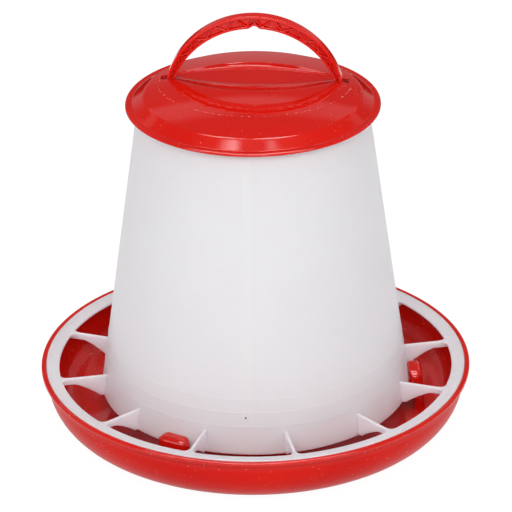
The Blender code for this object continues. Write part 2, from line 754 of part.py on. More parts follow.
def build_handle(group, tools, material):
    """The handle: two arched flanges with a web, zigzag ribs and snap-in tongues."""
    base = RECESS_FLOOR_Z + GAP
    outline = band(0.0, 0.0, base)
    channel = band(FLANGE_OUT_T, FLANGE_IN_T, base + FOOT_SOLE)
    half = HANDLE_W / 2.0
    handle = plate("handle_body", [outline, channel], -half, half, group, upright_y=HANDLE_Y)
    handle.name = "handle"
    handle.data.name = "handle"
    web = band(FLANGE_OUT_T * 0.5, FLANGE_IN_T * 0.5, base + FOOT_SOLE * 0.5)
    half = HANDLE_WEB_T / 2.0
    boolean(handle, as_tool(plate("handle_web", [web], -half, half, tools, upright_y=HANDLE_Y)), "UNION")
    add_ribs(handle, tools)
    right = tongue_outline()
    left = [(-x, z) for x, z in right]
    half = HANDLE_W / 2.0 - BITE * 0.5
    tongues = plate("tongues", [right, left], -half, half, tools, upright_y=HANDLE_Y)
    boolean(handle, as_tool(tongues), "UNION")
    handle.data.materials.append(material)
    return handle


def shade(item):
    """Round forms shade smoothly, edges stay sharp."""
    item.data.shade_smooth()
    item.data.set_sharp_from_angle(angle=math.radians(35.0))


def main():
    """Model the feeder."""
    clear_scene()
    group = new_collection("poultry_feeder")
    tools = new_collection("shaping_tools")
    red = plastic("red_polypropylene", RED, 0.28)
    milk = plastic("milky_polypropylene", MILK, 0.38)
    build_tray(group, tools, red)
    build_hopper(group, tools, milk)
    build_lid(group, tools, red)
    shade(build_handle(group, tools, red))


main()
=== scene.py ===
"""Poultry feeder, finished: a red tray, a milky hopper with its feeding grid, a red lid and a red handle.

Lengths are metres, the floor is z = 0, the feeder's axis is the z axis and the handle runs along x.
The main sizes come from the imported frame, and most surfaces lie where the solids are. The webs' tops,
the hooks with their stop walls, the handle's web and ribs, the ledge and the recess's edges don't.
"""

import logging
import math
from dataclasses import dataclass, field
from enum import Enum

import bmesh
import bpy
import numpy as np
from mathutils import Matrix, Vector


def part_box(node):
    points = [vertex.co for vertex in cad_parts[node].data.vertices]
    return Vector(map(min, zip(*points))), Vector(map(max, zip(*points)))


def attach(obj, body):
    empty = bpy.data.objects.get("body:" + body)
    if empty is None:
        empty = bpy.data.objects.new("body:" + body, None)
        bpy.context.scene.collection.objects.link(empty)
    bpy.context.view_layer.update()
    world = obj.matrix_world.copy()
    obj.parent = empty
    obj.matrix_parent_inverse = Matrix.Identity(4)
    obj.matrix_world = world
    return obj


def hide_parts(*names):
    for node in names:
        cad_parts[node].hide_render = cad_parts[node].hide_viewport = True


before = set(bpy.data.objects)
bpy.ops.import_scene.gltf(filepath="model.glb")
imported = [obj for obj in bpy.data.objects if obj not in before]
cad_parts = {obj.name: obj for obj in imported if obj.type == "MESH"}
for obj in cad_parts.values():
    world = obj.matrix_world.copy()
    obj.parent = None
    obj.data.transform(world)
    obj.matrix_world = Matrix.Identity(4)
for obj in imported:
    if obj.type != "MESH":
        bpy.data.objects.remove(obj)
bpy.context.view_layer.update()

log = logging.getLogger("poultry_feeder")

MM = 0.001
WELD = 2e-6
GAP = 0.3 * MM


class Slot(Enum):
    """The record's material slots."""

    RED = "red_plastic"
    MILKY = "milky_plastic"


def linear(hex_colour: str) -> tuple[float, float, float, float]:
    """Turn an sRGB hex colour into linear light.

    Args:
        hex_colour: Six hex digits after a hash sign.

    Returns:
        Red, green, blue and an alpha of 1.
    """
    parts = np.array([int(hex_colour[i : i + 2], 16) for i in (1, 3, 5)]) / 255.0
    light = np.where(parts <= 0.04045, parts / 12.92, ((parts + 0.055) / 1.055) ** 2.4)
    return (float(light[0]), float(light[1]), float(light[2]), 1.0)


def smooth_max(a: np.ndarray, b: np.ndarray, reach: float) -> np.ndarray:
    """Larger of two heights, with a rounded change where they differ by less than reach.

    The rounding adds reach / 4 times the square of (1 - difference / reach).

    Args:
        a, b: Heights of one shape.
        reach: Difference at which the rounding ends.

    Returns:
        Heights of the same shape.
    """
    blend = np.clip(1.0 - np.abs(a - b) / reach, 0.0, 1.0)
    return np.maximum(a, b) + 0.25 * reach * blend**2


def smooth_min(a: np.ndarray, b: np.ndarray, reach: float) -> np.ndarray:
    """Smaller of two heights with the same rounded change as smooth_max."""
    return -smooth_max(-a, -b, reach)


def rounded_path(corners: list[tuple[float, float, float]], closed: bool = False, steps: int = 7) -> np.ndarray:
    """Round the corners of a path in the plane by arcs of their own radius.

    At each corner the arc touches both sides at radius * tan(half the turn) from the corner.
    A corner with radius 0 stays sharp.

    Args:
        corners: Rows of (across, up, radius).
        closed: True when the last corner joins the first.
        steps: Number of pieces in each arc.

    Returns:
        Rows of (across, up).
    """
    places = np.array([c[:2] for c in corners], dtype=float)
    count = len(corners)
    out: list[np.ndarray] = []
    for i, (_, _, radius) in enumerate(corners):
        here = places[i]
        if radius <= 0.0 or (not closed and i in (0, count - 1)):
            out.append(here[None, :])
            continue
        back = places[i - 1] - here
        ahead = places[(i + 1) % count] - here
        back /= np.linalg.norm(back)
        ahead /= np.linalg.norm(ahead)
        half = 0.5 * math.acos(float(np.clip(back @ ahead, -1.0, 1.0)))
        touch = radius / math.tan(half)
        middle = back + ahead
        middle /= np.linalg.norm(middle)
        centre = here + middle * radius / math.sin(half)
        first = here + back * touch - centre
        last = here + ahead * touch - centre
        turn = math.atan2(first[0] * last[1] - first[1] * last[0], float(first @ last))
        angles = np.linspace(0.0, turn, steps + 1)
        cosines, sines = np.cos(angles), np.sin(angles)
        arc_x = first[0] * cosines - first[1] * sines
        arc_y = first[0] * sines + first[1] * cosines
        out.append(centre + np.stack([arc_x, arc_y], axis=1))
    return np.concatenate(out)


def subdivided(path: np.ndarray, longest: float) -> np.ndarray:
    """Add evenly spaced points so that no stretch of a path is longer than a length.

    Args:
        path: Rows of (across, up).
        longest: Greatest length of a stretch.

    Returns:
        Rows of (across, up), with all the old points.
    """
    pieces = []
    for a, b in zip(path[:-1], path[1:]):
        count = max(1, int(math.ceil(float(np.linalg.norm(b - a)) / longest)))
        share = np.arange(count)[:, None] / count
        pieces.append(a + (b - a) * share)
    pieces.append(path[-1:])
    return np.concatenate(pieces)


class Surface:
    """Collects grids of points and welds them into one closed mesh."""

    def __init__(self) -> None:
        """Start with no points and no faces."""
        self.points: list[np.ndarray] = []
        self.faces: list[list[int]] = []
        self.count = 0

    def add_grid(self, grid: np.ndarray, wrap_rows: bool = False, wrap_cols: bool = False) -> None:
        """Add a grid of points as quads.

        Args:
            grid: Points of shape (rows, columns, 3).
            wrap_rows: Join the last row to the first.
            wrap_cols: Join the last column to the first.
        """
        rows, cols = grid.shape[:2]
        index = np.arange(rows * cols).reshape(rows, cols) + self.count
        if wrap_rows:
            index = np.concatenate([index, index[:1]], axis=0)
        if wrap_cols:
            index = np.concatenate([index, index[:, :1]], axis=1)
        quads = np.stack([index[:-1, :-1], index[1:, :-1], index[1:, 1:], index[:-1, 1:]], axis=-1)
        self.faces += quads.reshape(-1, 4).tolist()
        self.points.append(grid.reshape(-1, 3))
        self.count += rows * cols

    def add_cap(self, ring: np.ndarray) -> None:
        """Close a loop of points with one flat face.

        Args:
            ring: Points of shape (points, 3), in order.
        """
        self.faces.append(list(range(self.count, self.count + len(ring))))
        self.points.append(ring)
        self.count += len(ring)

    def add_loft(self, rings: np.ndarray) -> None:
        """Add closed rings joined in order, with a cap at each end.

        Args:
            rings: Points of shape (rings, points, 3).
        """
        self.add_grid(rings, wrap_cols=True)
        self.add_cap(rings[0][::-1])
        self.add_cap(rings[-1])

    def build(self, name: str) -> bpy.types.Object:
        """Weld the grids, turn the faces outwards and put the mesh into the scene.

        Args:
            name: The object's name.

        Returns:
            The new object, at the origin.
        """
        mesh = bpy.data.meshes.new(name)
        mesh.from_pydata(np.concatenate(self.points).tolist(), [], self.faces)
        work = bmesh.new()
        work.from_mesh(mesh)
        bmesh.ops.remove_doubles(work, verts=work.verts, dist=WELD)
        bmesh.ops.dissolve_degenerate(work, edges=work.edges, dist=WELD)
        bmesh.ops.recalc_face_normals(work, faces=work.faces)
        work.to_mesh(mesh)
        work.free()
        item = bpy.data.objects.new(name, mesh)
        bpy.context.scene.collection.objects.link(item)
        return item


def revolve(path: np.ndarray, angles: np.ndarray) -> np.ndarray:
    """Carry a section round the z axis.

    A point is (r cos a, r sin a, z) for each angle a.

    Args:
        path: Rows of (radius, height).
        angles: Angles in radians.

    Returns:
        Points of shape (section points, angles, 3).
    """
    r, z = path[:, :1], path[:, 1:]
    return np.stack([r * np.cos(angles), r * np.sin(angles), z + 0.0 * angles], axis=-1)


def full_turn(count: int) -> np.ndarray:
    """Evenly spaced angles round the axis."""
    return np.arange(count) * (math.tau / count)


def turned_about_z(points: np.ndarray, angle: float) -> np.ndarray:
    """Turn points about the feeder's axis.

    A point goes to (x cos a - y sin a, x sin a + y cos a, z).

    Args:
        points: Points of shape (..., 3).
        angle: Angle in radians.

    Returns:
        Points of the same shape.
    """
    c, s = math.cos(angle), math.sin(angle)
    x, y, z = points[..., 0], points[..., 1], points[..., 2]
    return np.stack([c * x - s * y, s * x + c * y, z], axis=-1)


def settled(item: bpy.types.Object) -> None:
    """Put the result of an object's modifiers into its mesh and clear them.

    Args:
        item: The object.
    """
    graph = bpy.context.evaluated_depsgraph_get()
    mesh = bpy.data.meshes.new_from_object(item.evaluated_get(graph))
    item.modifiers.clear()
    item.data = mesh


def apply_boolean(item: bpy.types.Object, others: list[bpy.types.Object], operation: str) -> None:
    """Cut or join other objects into one and remove them.

    Args:
        item: The object that stays.
        others: Objects to cut or join.
        operation: UNION or DIFFERENCE.
    """
    for other in others:
        change = item.modifiers.new(operation.lower(), "BOOLEAN")
        change.operation = operation
        change.object = other
        change.solver = "EXACT"
    settled(item)
    for other in others:
        bpy.data.objects.remove(other, do_unlink=True)


def smooth(item: bpy.types.Object, angle: float = 38.0) -> None:
    """Shade a piece smoothly, keep edges sharper than an angle in degrees and let large faces stay flat.

    Args:
        item: The piece.
        angle: Edges sharper than this stay sharp, in degrees.
    """
    item.data.shade_smooth()
    item.data.set_sharp_from_angle(angle=math.radians(angle))
    weighted = item.modifiers.new("weighted_normals", "WEIGHTED_NORMAL")
    weighted.keep_sharp = True
    weighted.weight = 60
    settled(item)


def per_metre(size_mm: float) -> float:
    """How often a pattern of a real size in millimetres repeats in a metre."""
    return 1.0 / (size_mm * MM)


SocketValue = float | tuple[float, ...] | bpy.types.Node | bpy.types.NodeSocket


def add_node(tree: bpy.types.NodeTree, kind: str, settings: dict[str, str] | None = None,
             **sockets: SocketValue) -> bpy.types.Node:
    """Add a node with its settings, values and links.

    Args:
        tree: The material's node tree.
        kind: The node's type name.
        settings: Values for the node's own properties.
        **sockets: For each input, named with _ for a blank or as in3 for its number, a value, the
            output socket that feeds it, or a node whose first live output does.

    Returns:
        The new node.
    """
    made = tree.nodes.new(kind)
    for key, value in (settings or {}).items():
        setattr(made, key, value)
    for key, value in sockets.items():
        numbered = key.startswith("in") and key[2:].isdigit()
        target = made.inputs[int(key[2:])] if numbered else made.inputs[key.replace("_", " ")]
        if isinstance(value, bpy.types.Node):
            value = next(output for output in value.outputs if output.enabled)
        if isinstance(value, bpy.types.NodeSocket):
            tree.links.new(value, target)
        else:
            target.default_value = value
    return made


SMOOTH = {"interpolation_type": "SMOOTHSTEP"}
COLOURS = {"data_type": "RGBA"}


@dataclass(frozen=True)
class Polypropylene:
    """Injection moulded polypropylene, the finish of every piece here.

    To the eye it is an even colour that drifts a little over some centimetres, as the pigment flows,
    under a smooth gloss with a very fine skin. Pale specks are nicks and dust in the gloss, in patches
    and along an optional ring of rub marks. Sizes of the patterns are in millimetres. Real nicks and
    dust are mostly finer than speck_mm, which is as coarse as they have to be to show.
    """

    name: str
    colour: str
    deep_colour: str
    roughness: float
    worn_roughness: float
    speck_colour: str
    speck_limit: float
    peel: float
    cloud_mm: float = 70.0
    haze_mm: float = 18.0
    patch_mm: float = 26.0
    speck_mm: float = 1.05
    peel_mm: float = 2.6
    subsurface: float = 0.0
    see_through: float = 0.0
    under_roughness: float = 0.0
    under_gloss: float = 0.5
    rub_centre: tuple[float, float] = (0.0, 0.0)
    rub_radius: float = 0.0
    rub_share: float = 0.19
    seam: float = 0.0
    fleck: tuple[float, float, float] | None = None
    peel_depth: float = 0.4 * MM
    rub_half: float = 0.9 * MM
    rub_fade: tuple[float, float] = (4.0 * MM, 16.0 * MM)
    seam_angle: float = 0.013
    seam_edge: tuple[float, float] = (0.034, 0.039)
    seam_foot: tuple[float, float] = (38.5 * MM, 39.5 * MM)
    fleck_edge: tuple[float, float] = (0.40 * MM, 0.85 * MM)
    fleck_colour: str = "#3A2A2A"
    under_slope: tuple[float, float] = (-0.06, 0.03)

    def rub_marks(self, tree: bpy.types.NodeTree, place: bpy.types.NodeSocket) -> bpy.types.Node:
        """Share of the ring that another rim has rubbed.

        It falls from 1 on the circle of rub_radius to 0 at rub_half from it, and fades out towards the
        back.

        Args:
            tree: The material's node tree.
            place: The piece's Object coordinates.

        Returns:
            A node that gives the share.
        """
        away = add_node(tree, "ShaderNodeVectorMath", {"operation": "SUBTRACT"}, in0=place,
                        in1=(*self.rub_centre, 0.0))
        flat = add_node(tree, "ShaderNodeVectorMath", {"operation": "MULTIPLY"}, in0=away, in1=(1.0, 1.0, 0.0))
        reach = add_node(tree, "ShaderNodeVectorMath", {"operation": "LENGTH"}, in0=flat)
        past = add_node(tree, "ShaderNodeMath", {"operation": "SUBTRACT"}, in0=reach, in1=self.rub_radius)
        off = add_node(tree, "ShaderNodeMath", {"operation": "ABSOLUTE"}, in0=past)
        near = add_node(tree, "ShaderNodeMapRange", SMOOTH, in0=off, in1=0.0, in2=self.rub_half, in3=1.0,
                        in4=0.0)
        y = add_node(tree, "ShaderNodeSeparateXYZ", Vector=place).outputs[1]
        front = add_node(tree, "ShaderNodeMapRange", SMOOTH, in0=y, in1=self.rub_fade[0], in2=self.rub_fade[1],
                         in3=1.0, in4=0.0)
        return add_node(tree, "ShaderNodeMath", {"operation": "MULTIPLY"}, in0=near, in1=front)

    def specks(self, tree: bpy.types.NodeTree, place: bpy.types.NodeSocket) -> bpy.types.Node:
        """Share of pale specks: peaks of a fine noise over a limit that is lower in patches.

        Args:
            tree: The material's node tree.
            place: The piece's Object coordinates.

        Returns:
            A node that gives the share.
        """
        fine = add_node(tree, "ShaderNodeTexNoise", Vector=place, Scale=per_metre(self.speck_mm), Detail=1.0)
        patches = add_node(tree, "ShaderNodeTexNoise", Vector=place, Scale=per_metre(self.patch_mm), Detail=2.0)
        lowered = add_node(tree, "ShaderNodeMapRange", SMOOTH, in0=patches, in1=0.50, in2=0.72, in3=0.0, in4=0.055)
        limit = add_node(tree, "ShaderNodeMath", {"operation": "SUBTRACT"}, in0=self.speck_limit, in1=lowered)
        if self.rub_radius > 0.0:
            ring = add_node(tree, "ShaderNodeMath", {"operation": "MULTIPLY"}, in0=self.rub_marks(tree, place),
                            in1=self.rub_share)
            limit = add_node(tree, "ShaderNodeMath", {"operation": "SUBTRACT"}, in0=limit, in1=ring)
        over = add_node(tree, "ShaderNodeMath", {"operation": "SUBTRACT"}, in0=fine, in1=limit)
        return add_node(tree, "ShaderNodeMapRange", SMOOTH, in0=over, in1=0.0, in2=0.03)

    def with_seam(self, tree: bpy.types.NodeTree, place: bpy.types.NodeSocket,
                  colour: bpy.types.Node) -> bpy.types.Node:
        """Lighten a narrow upright band where the mould's halves met, at the front above the crease.

        Args:
            tree: The material's node tree.
            place: The piece's Object coordinates.
            colour: The colour so far.

        Returns:
            A node that gives the new colour.
        """
        parts = add_node(tree, "ShaderNodeSeparateXYZ", Vector=place)
        back = add_node(tree, "ShaderNodeMath", {"operation": "MULTIPLY"}, in0=parts.outputs[1], in1=-1.0)
        angle = add_node(tree, "ShaderNodeMath", {"operation": "ARCTAN2"}, in0=parts.outputs[0], in1=back)
        past = add_node(tree, "ShaderNodeMath", {"operation": "SUBTRACT"}, in0=angle, in1=self.seam_angle)
        off = add_node(tree, "ShaderNodeMath", {"operation": "ABSOLUTE"}, in0=past)
        inside = add_node(tree, "ShaderNodeMapRange", SMOOTH, in0=off, in1=self.seam_edge[0],
                          in2=self.seam_edge[1], in3=self.seam, in4=0.0)
        above = add_node(tree, "ShaderNodeMapRange", SMOOTH, in0=parts.outputs[2], in1=self.seam_foot[0],
                         in2=self.seam_foot[1])
        share = add_node(tree, "ShaderNodeMath", {"operation": "MULTIPLY"}, in0=inside, in1=above)
        return add_node(tree, "ShaderNodeMix", COLOURS, in0=share, in6=colour, in7=(1.0, 1.0, 1.0, 1.0))

    def with_fleck(self, tree: bpy.types.NodeTree, place: bpy.types.NodeSocket,
                   colour: bpy.types.Node) -> bpy.types.Node:
        """Set one dark grain in the plastic.

        Args:
            tree: The material's node tree.
            place: The piece's Object coordinates.
            colour: The colour so far.

        Returns:
            A node that gives the new colour.
        """
        away = add_node(tree, "ShaderNodeVectorMath", {"operation": "DISTANCE"}, in0=place, in1=self.fleck)
        grain = add_node(tree, "ShaderNodeMapRange", SMOOTH, in0=away, in1=self.fleck_edge[0],
                         in2=self.fleck_edge[1], in3=0.9, in4=0.0)
        return add_node(tree, "ShaderNodeMix", COLOURS, in0=grain, in6=colour, in7=linear(self.fleck_colour))

    def gloss(self, tree: bpy.types.NodeTree, place: bpy.types.NodeSocket, shader: bpy.types.Node) -> None:
        """Set the gloss: hazier in patches, and dull on faces that look down, which the ground scuffs.

        Args:
            tree: The material's node tree.
            place: The piece's Object coordinates.
            shader: The piece's Principled shader.
        """
        haze = add_node(tree, "ShaderNodeTexNoise", Vector=place, Scale=per_metre(self.haze_mm), Detail=4.0)
        rough = add_node(tree, "ShaderNodeMapRange", SMOOTH, in0=haze, in1=0.40, in2=0.75, in3=self.roughness,
                         in4=self.worn_roughness)
        if self.under_roughness > 0.0:
            normal = add_node(tree, "ShaderNodeNewGeometry").outputs["Normal"]
            slope = add_node(tree, "ShaderNodeSeparateXYZ", Vector=normal).outputs[2]
            facing, level_with = self.under_slope
            rough = add_node(tree, "ShaderNodeMapRange", SMOOTH, in0=slope, in1=facing, in2=level_with,
                             in3=self.under_roughness, in4=rough)
            level = add_node(tree, "ShaderNodeMapRange", SMOOTH, in0=slope, in1=facing, in2=level_with,
                             in3=self.under_gloss, in4=0.5)
            tree.links.new(level.outputs[0], shader.inputs["Specular IOR Level"])
        tree.links.new(rough.outputs[0], shader.inputs["Roughness"])
        skin = add_node(tree, "ShaderNodeTexNoise", Vector=place, Scale=per_metre(self.peel_mm), Detail=2.0)
        bump = add_node(tree, "ShaderNodeBump", Height=skin, Strength=self.peel, Distance=self.peel_depth)
        tree.links.new(bump.outputs["Normal"], shader.inputs["Normal"])

    def material(self) -> bpy.types.Material:
        """Build the finish.

        Returns:
            The material, a Principled shader, with scattered light let through where it is milky.
        """
        made = bpy.data.materials.new(self.name)
        made.use_nodes = True
        tree = made.node_tree
        shader = tree.nodes["Principled BSDF"]
        shader.inputs["IOR"].default_value = 1.49
        place = add_node(tree, "ShaderNodeTexCoord").outputs["Object"]
        cloud = add_node(tree, "ShaderNodeTexNoise", Vector=place, Scale=per_metre(self.cloud_mm), Detail=3.0)
        drift = add_node(tree, "ShaderNodeMapRange", SMOOTH, in0=cloud, in1=0.35, in2=0.70)
        colour = add_node(tree, "ShaderNodeMix", COLOURS, in0=drift, in6=linear(self.deep_colour),
                          in7=linear(self.colour))
        if self.seam > 0.0:
            colour = self.with_seam(tree, place, colour)
        if self.fleck is not None:
            colour = self.with_fleck(tree, place, colour)
        colour = add_node(tree, "ShaderNodeMix", COLOURS, in0=self.specks(tree, place), in6=colour,
                          in7=linear(self.speck_colour))
        tree.links.new(colour.outputs[2], shader.inputs["Base Color"])
        self.gloss(tree, place, shader)
        if self.subsurface > 0.0:
            shader.inputs["Subsurface Weight"].default_value = 1.0
            shader.inputs["Subsurface Scale"].default_value = self.subsurface
            shader.inputs["Subsurface Radius"].default_value = (1.0, 0.92, 0.98)
        if self.see_through > 0.0:
            milk = add_node(tree, "ShaderNodeBsdfTranslucent", Color=colour)
            mix = add_node(tree, "ShaderNodeMixShader", in0=self.see_through, in1=shader.outputs[0],
                           in2=milk.outputs[0])
            tree.links.new(mix.outputs[0], tree.nodes["Material Output"].inputs["Surface"])
        return made


# Glossy pigmented polypropylene: a clear red with crisp highlights, scuffed dull where it stands.
RED_TRAY = Polypropylene("red_polypropylene_tray", "#CF170B", "#C61209", 0.08, 0.14, "#F09C94", 0.75, 0.02,
                         under_roughness=0.36, under_gloss=0.12)
# The lid is the glossiest moulding and carries a ring of faint rub marks.
RED_LID = Polypropylene("red_polypropylene_lid", "#CF170A", "#C71208", 0.04, 0.08, "#F0A098", 0.78, 0.012,
                        rub_centre=(0.0, 18.0 * MM), rub_radius=61.0 * MM)
# The handle is a little duller from being held.
RED_HANDLE = Polypropylene("red_polypropylene_handle", "#DA1A0D", "#D2150B", 0.14, 0.20, "#F09C94", 0.80, 0.015)
# Unpigmented polypropylene: milky, lets scattered light through, and goes pink near the red.
MILKY_PP = Polypropylene("milky_polypropylene_satin", "#F9F7FF", "#F6F4FC", 0.30, 0.38, "#FFFFFF", 0.90, 0.02,
                         subsurface=3.5 * MM, see_through=0.26, seam=0.3, fleck=(0.3 * MM, -95.5 * MM, 44.4 * MM))


@dataclass
class Tray:
    """The red dish with its lip, its ledge for the ring, its cone and its three hooks."""

    lip_r: float = field(default_factory=lambda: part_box("tray")[1].x)
    wall_r: float = 133.5 * MM
    wall: float = 2.0 * MM
    rim_z: float = 35.0 * MM
    crest: float = 1.1 * MM
    heel_r: float = 28.0 * MM
    seat_w: float = 2.8 * MM
    seat_drop: float = 0.9 * MM
    lip_depth: float = 2.6 * MM
    cone_r: float = 72.1 * MM
    cone_h: float = 28.0 * MM
    hook_angles: tuple[float, ...] = (5.0, 125.0, 244.2)
    hook_w: float = 21.4 * MM
    hook_out_r: float = 107.1 * MM
    hook_foot_r: float = 109.1 * MM
    hook_post: float = 5.4 * MM
    hook_bar: float = 4.0 * MM
    hook_drop: float = 6.7 * MM
    hook_draft: float = 1.0 * MM

    def section(self) -> np.ndarray:
        """Section from the cone's nose over the lip to the underside.

        Straight runs between corners, each corner rounded by an arc of its own radius.

        Returns:
            Rows of (radius, height).
        """
        inner = self.wall_r - self.wall
        lip_in = inner + self.seat_w
        seat_z = self.rim_z - self.seat_drop
        top = self.rim_z + self.crest
        nose = self.wall + self.cone_h
        corners = [
            (0.0, nose, 0.0),
            (4.0 * MM, nose, 6.0 * MM),
            (self.cone_r, self.wall, 12.0 * MM),
            (inner, self.wall, self.heel_r - self.wall),
            (inner, seat_z, 0.3 * MM),
            (lip_in, seat_z, 0.2 * MM),
            (lip_in + 0.1 * MM, top, 0.9 * MM),
            (self.lip_r, top - 0.3 * MM, 1.1 * MM),
            (self.lip_r, self.rim_z - 1.5 * MM, 0.7 * MM),
            (self.wall_r + 0.3 * MM, self.rim_z - self.lip_depth, 0.9 * MM),
            (self.wall_r, 0.0, self.heel_r),
            (self.cone_r + 2.0 * MM, 0.0, 2.0 * MM),
            (4.0 * MM, nose - self.wall, 6.0 * MM),
            (0.0, nose - self.wall, 0.0),
        ]
        return subdivided(rounded_path(corners, steps=12), 6.0 * MM)

    def hook(self, hopper: "Hopper", angle: float) -> Surface:
        """One hook: its section is carried across, drawn in near both ends to round them.

        Over the last R of its half width the section shrinks about its own middle by R - sqrt(R^2 -
        d^2), where d is how far it has come into that stretch, and its top falls by the same amount up
        to a limit. Both ends stand further out at the foot than at the top.

        Args:
            hopper: The hopper that sits in the tray.
            angle: Place round the axis, in degrees from the x axis.

        Returns:
            The closed surface of one hook.
        """
        top = self.rim_z - self.hook_drop
        under = top - self.hook_bar
        post = self.hook_out_r - self.hook_post
        low = 1.0 * MM
        corners = [
            (hopper.outer_r(top) + GAP, top, 1.2 * MM),
            (self.hook_out_r, top, 4.2 * MM),
            (self.hook_foot_r, low, 0.0),
            (post, low, 0.0),
            (post, under, 0.6 * MM),
            (hopper.outer_r(under) + GAP, under, 0.5 * MM),
        ]
        ring = rounded_path(corners, closed=True, steps=8)
        half, plan_r, edge_r = self.hook_w / 2.0, 5.6 * MM, 3.0 * MM
        bend = np.linspace(0.0, math.pi / 2.0, 21)
        right = half - plan_r + plan_r * np.sin(bend)
        across = np.concatenate([-right[::-1], right])
        beyond = np.clip(np.abs(across) - (half - plan_r), 0.0, plan_r)
        draw = plan_r - np.sqrt(np.maximum(plan_r**2 - beyond**2, 0.0))
        squeeze = np.minimum(draw, 3.9 * MM)
        middle = 0.5 * (hopper.outer_r(top) + self.hook_out_r)
        half_r = 0.5 * (self.hook_out_r - hopper.outer_r(top))
        r = middle + (ring[None, :, 0] - middle) * (1.0 - squeeze[:, None] / half_r)
        fall = np.clip((ring[None, :, 1] - under) / self.hook_bar, 0.0, 1.0)
        z = ring[None, :, 1] - np.minimum(draw, edge_r)[:, None] * fall
        wide = across[:, None] * (1.0 + self.hook_draft / half * (top - z) / top)
        points = np.stack([r, wide, z], axis=-1)
        made = Surface()
        made.add_loft(turned_about_z(points, math.radians(angle)))
        return made

    def stop(self, hopper: "Hopper", angle: float) -> Surface:
        """The wall under one end of a hook's bar that the lug runs against.

        An upright four-sided section of one height, from the skirt plus a clearance out to the post.
        Along the hook the clearance grows towards the end, which rounds it. The solids have no such
        wall.

        Args:
            hopper: The hopper that sits in the tray.
            angle: Place round the axis, in degrees from the x axis.

        Returns:
            The closed surface of one wall.
        """
        top, low = self.rim_z - self.hook_drop - 0.5 * self.hook_bar, 12.0 * MM
        post = self.hook_out_r - 0.5 * self.hook_post
        across = np.array([-9.6, -9.1, -8.4, -7.5]) * MM
        off_skirt = np.array([1.9, 0.9, 0.4, 0.3]) * MM
        z = np.array([low, top, top, low]) + 0.0 * across[:, None]
        r = np.full_like(z, post)
        r[:, :2] = hopper.outer_r(z[:, :2]) + off_skirt[:, None]
        made = Surface()
        made.add_loft(turned_about_z(np.stack([r, across[:, None] + 0.0 * r, z], axis=-1), math.radians(angle)))
        return made

    def build(self, hopper: "Hopper") -> bpy.types.Object:
        """Build the tray with its hooks as one moulding.

        Args:
            hopper: The hopper that sits in the tray.

        Returns:
            The tray.
        """
        body = Surface()
        body.add_grid(revolve(self.section(), full_turn(360)), wrap_cols=True)
        dish = body.build("tray_moulding")
        hooks = [self.hook(hopper, a).build(f"hook_{i}") for i, a in enumerate(self.hook_angles)]
        hooks += [self.stop(hopper, a).build(f"stop_{i}") for i, a in enumerate(self.hook_angles)]
        apply_boolean(dish, hooks, "UNION")
        smooth(dish)
        return dish


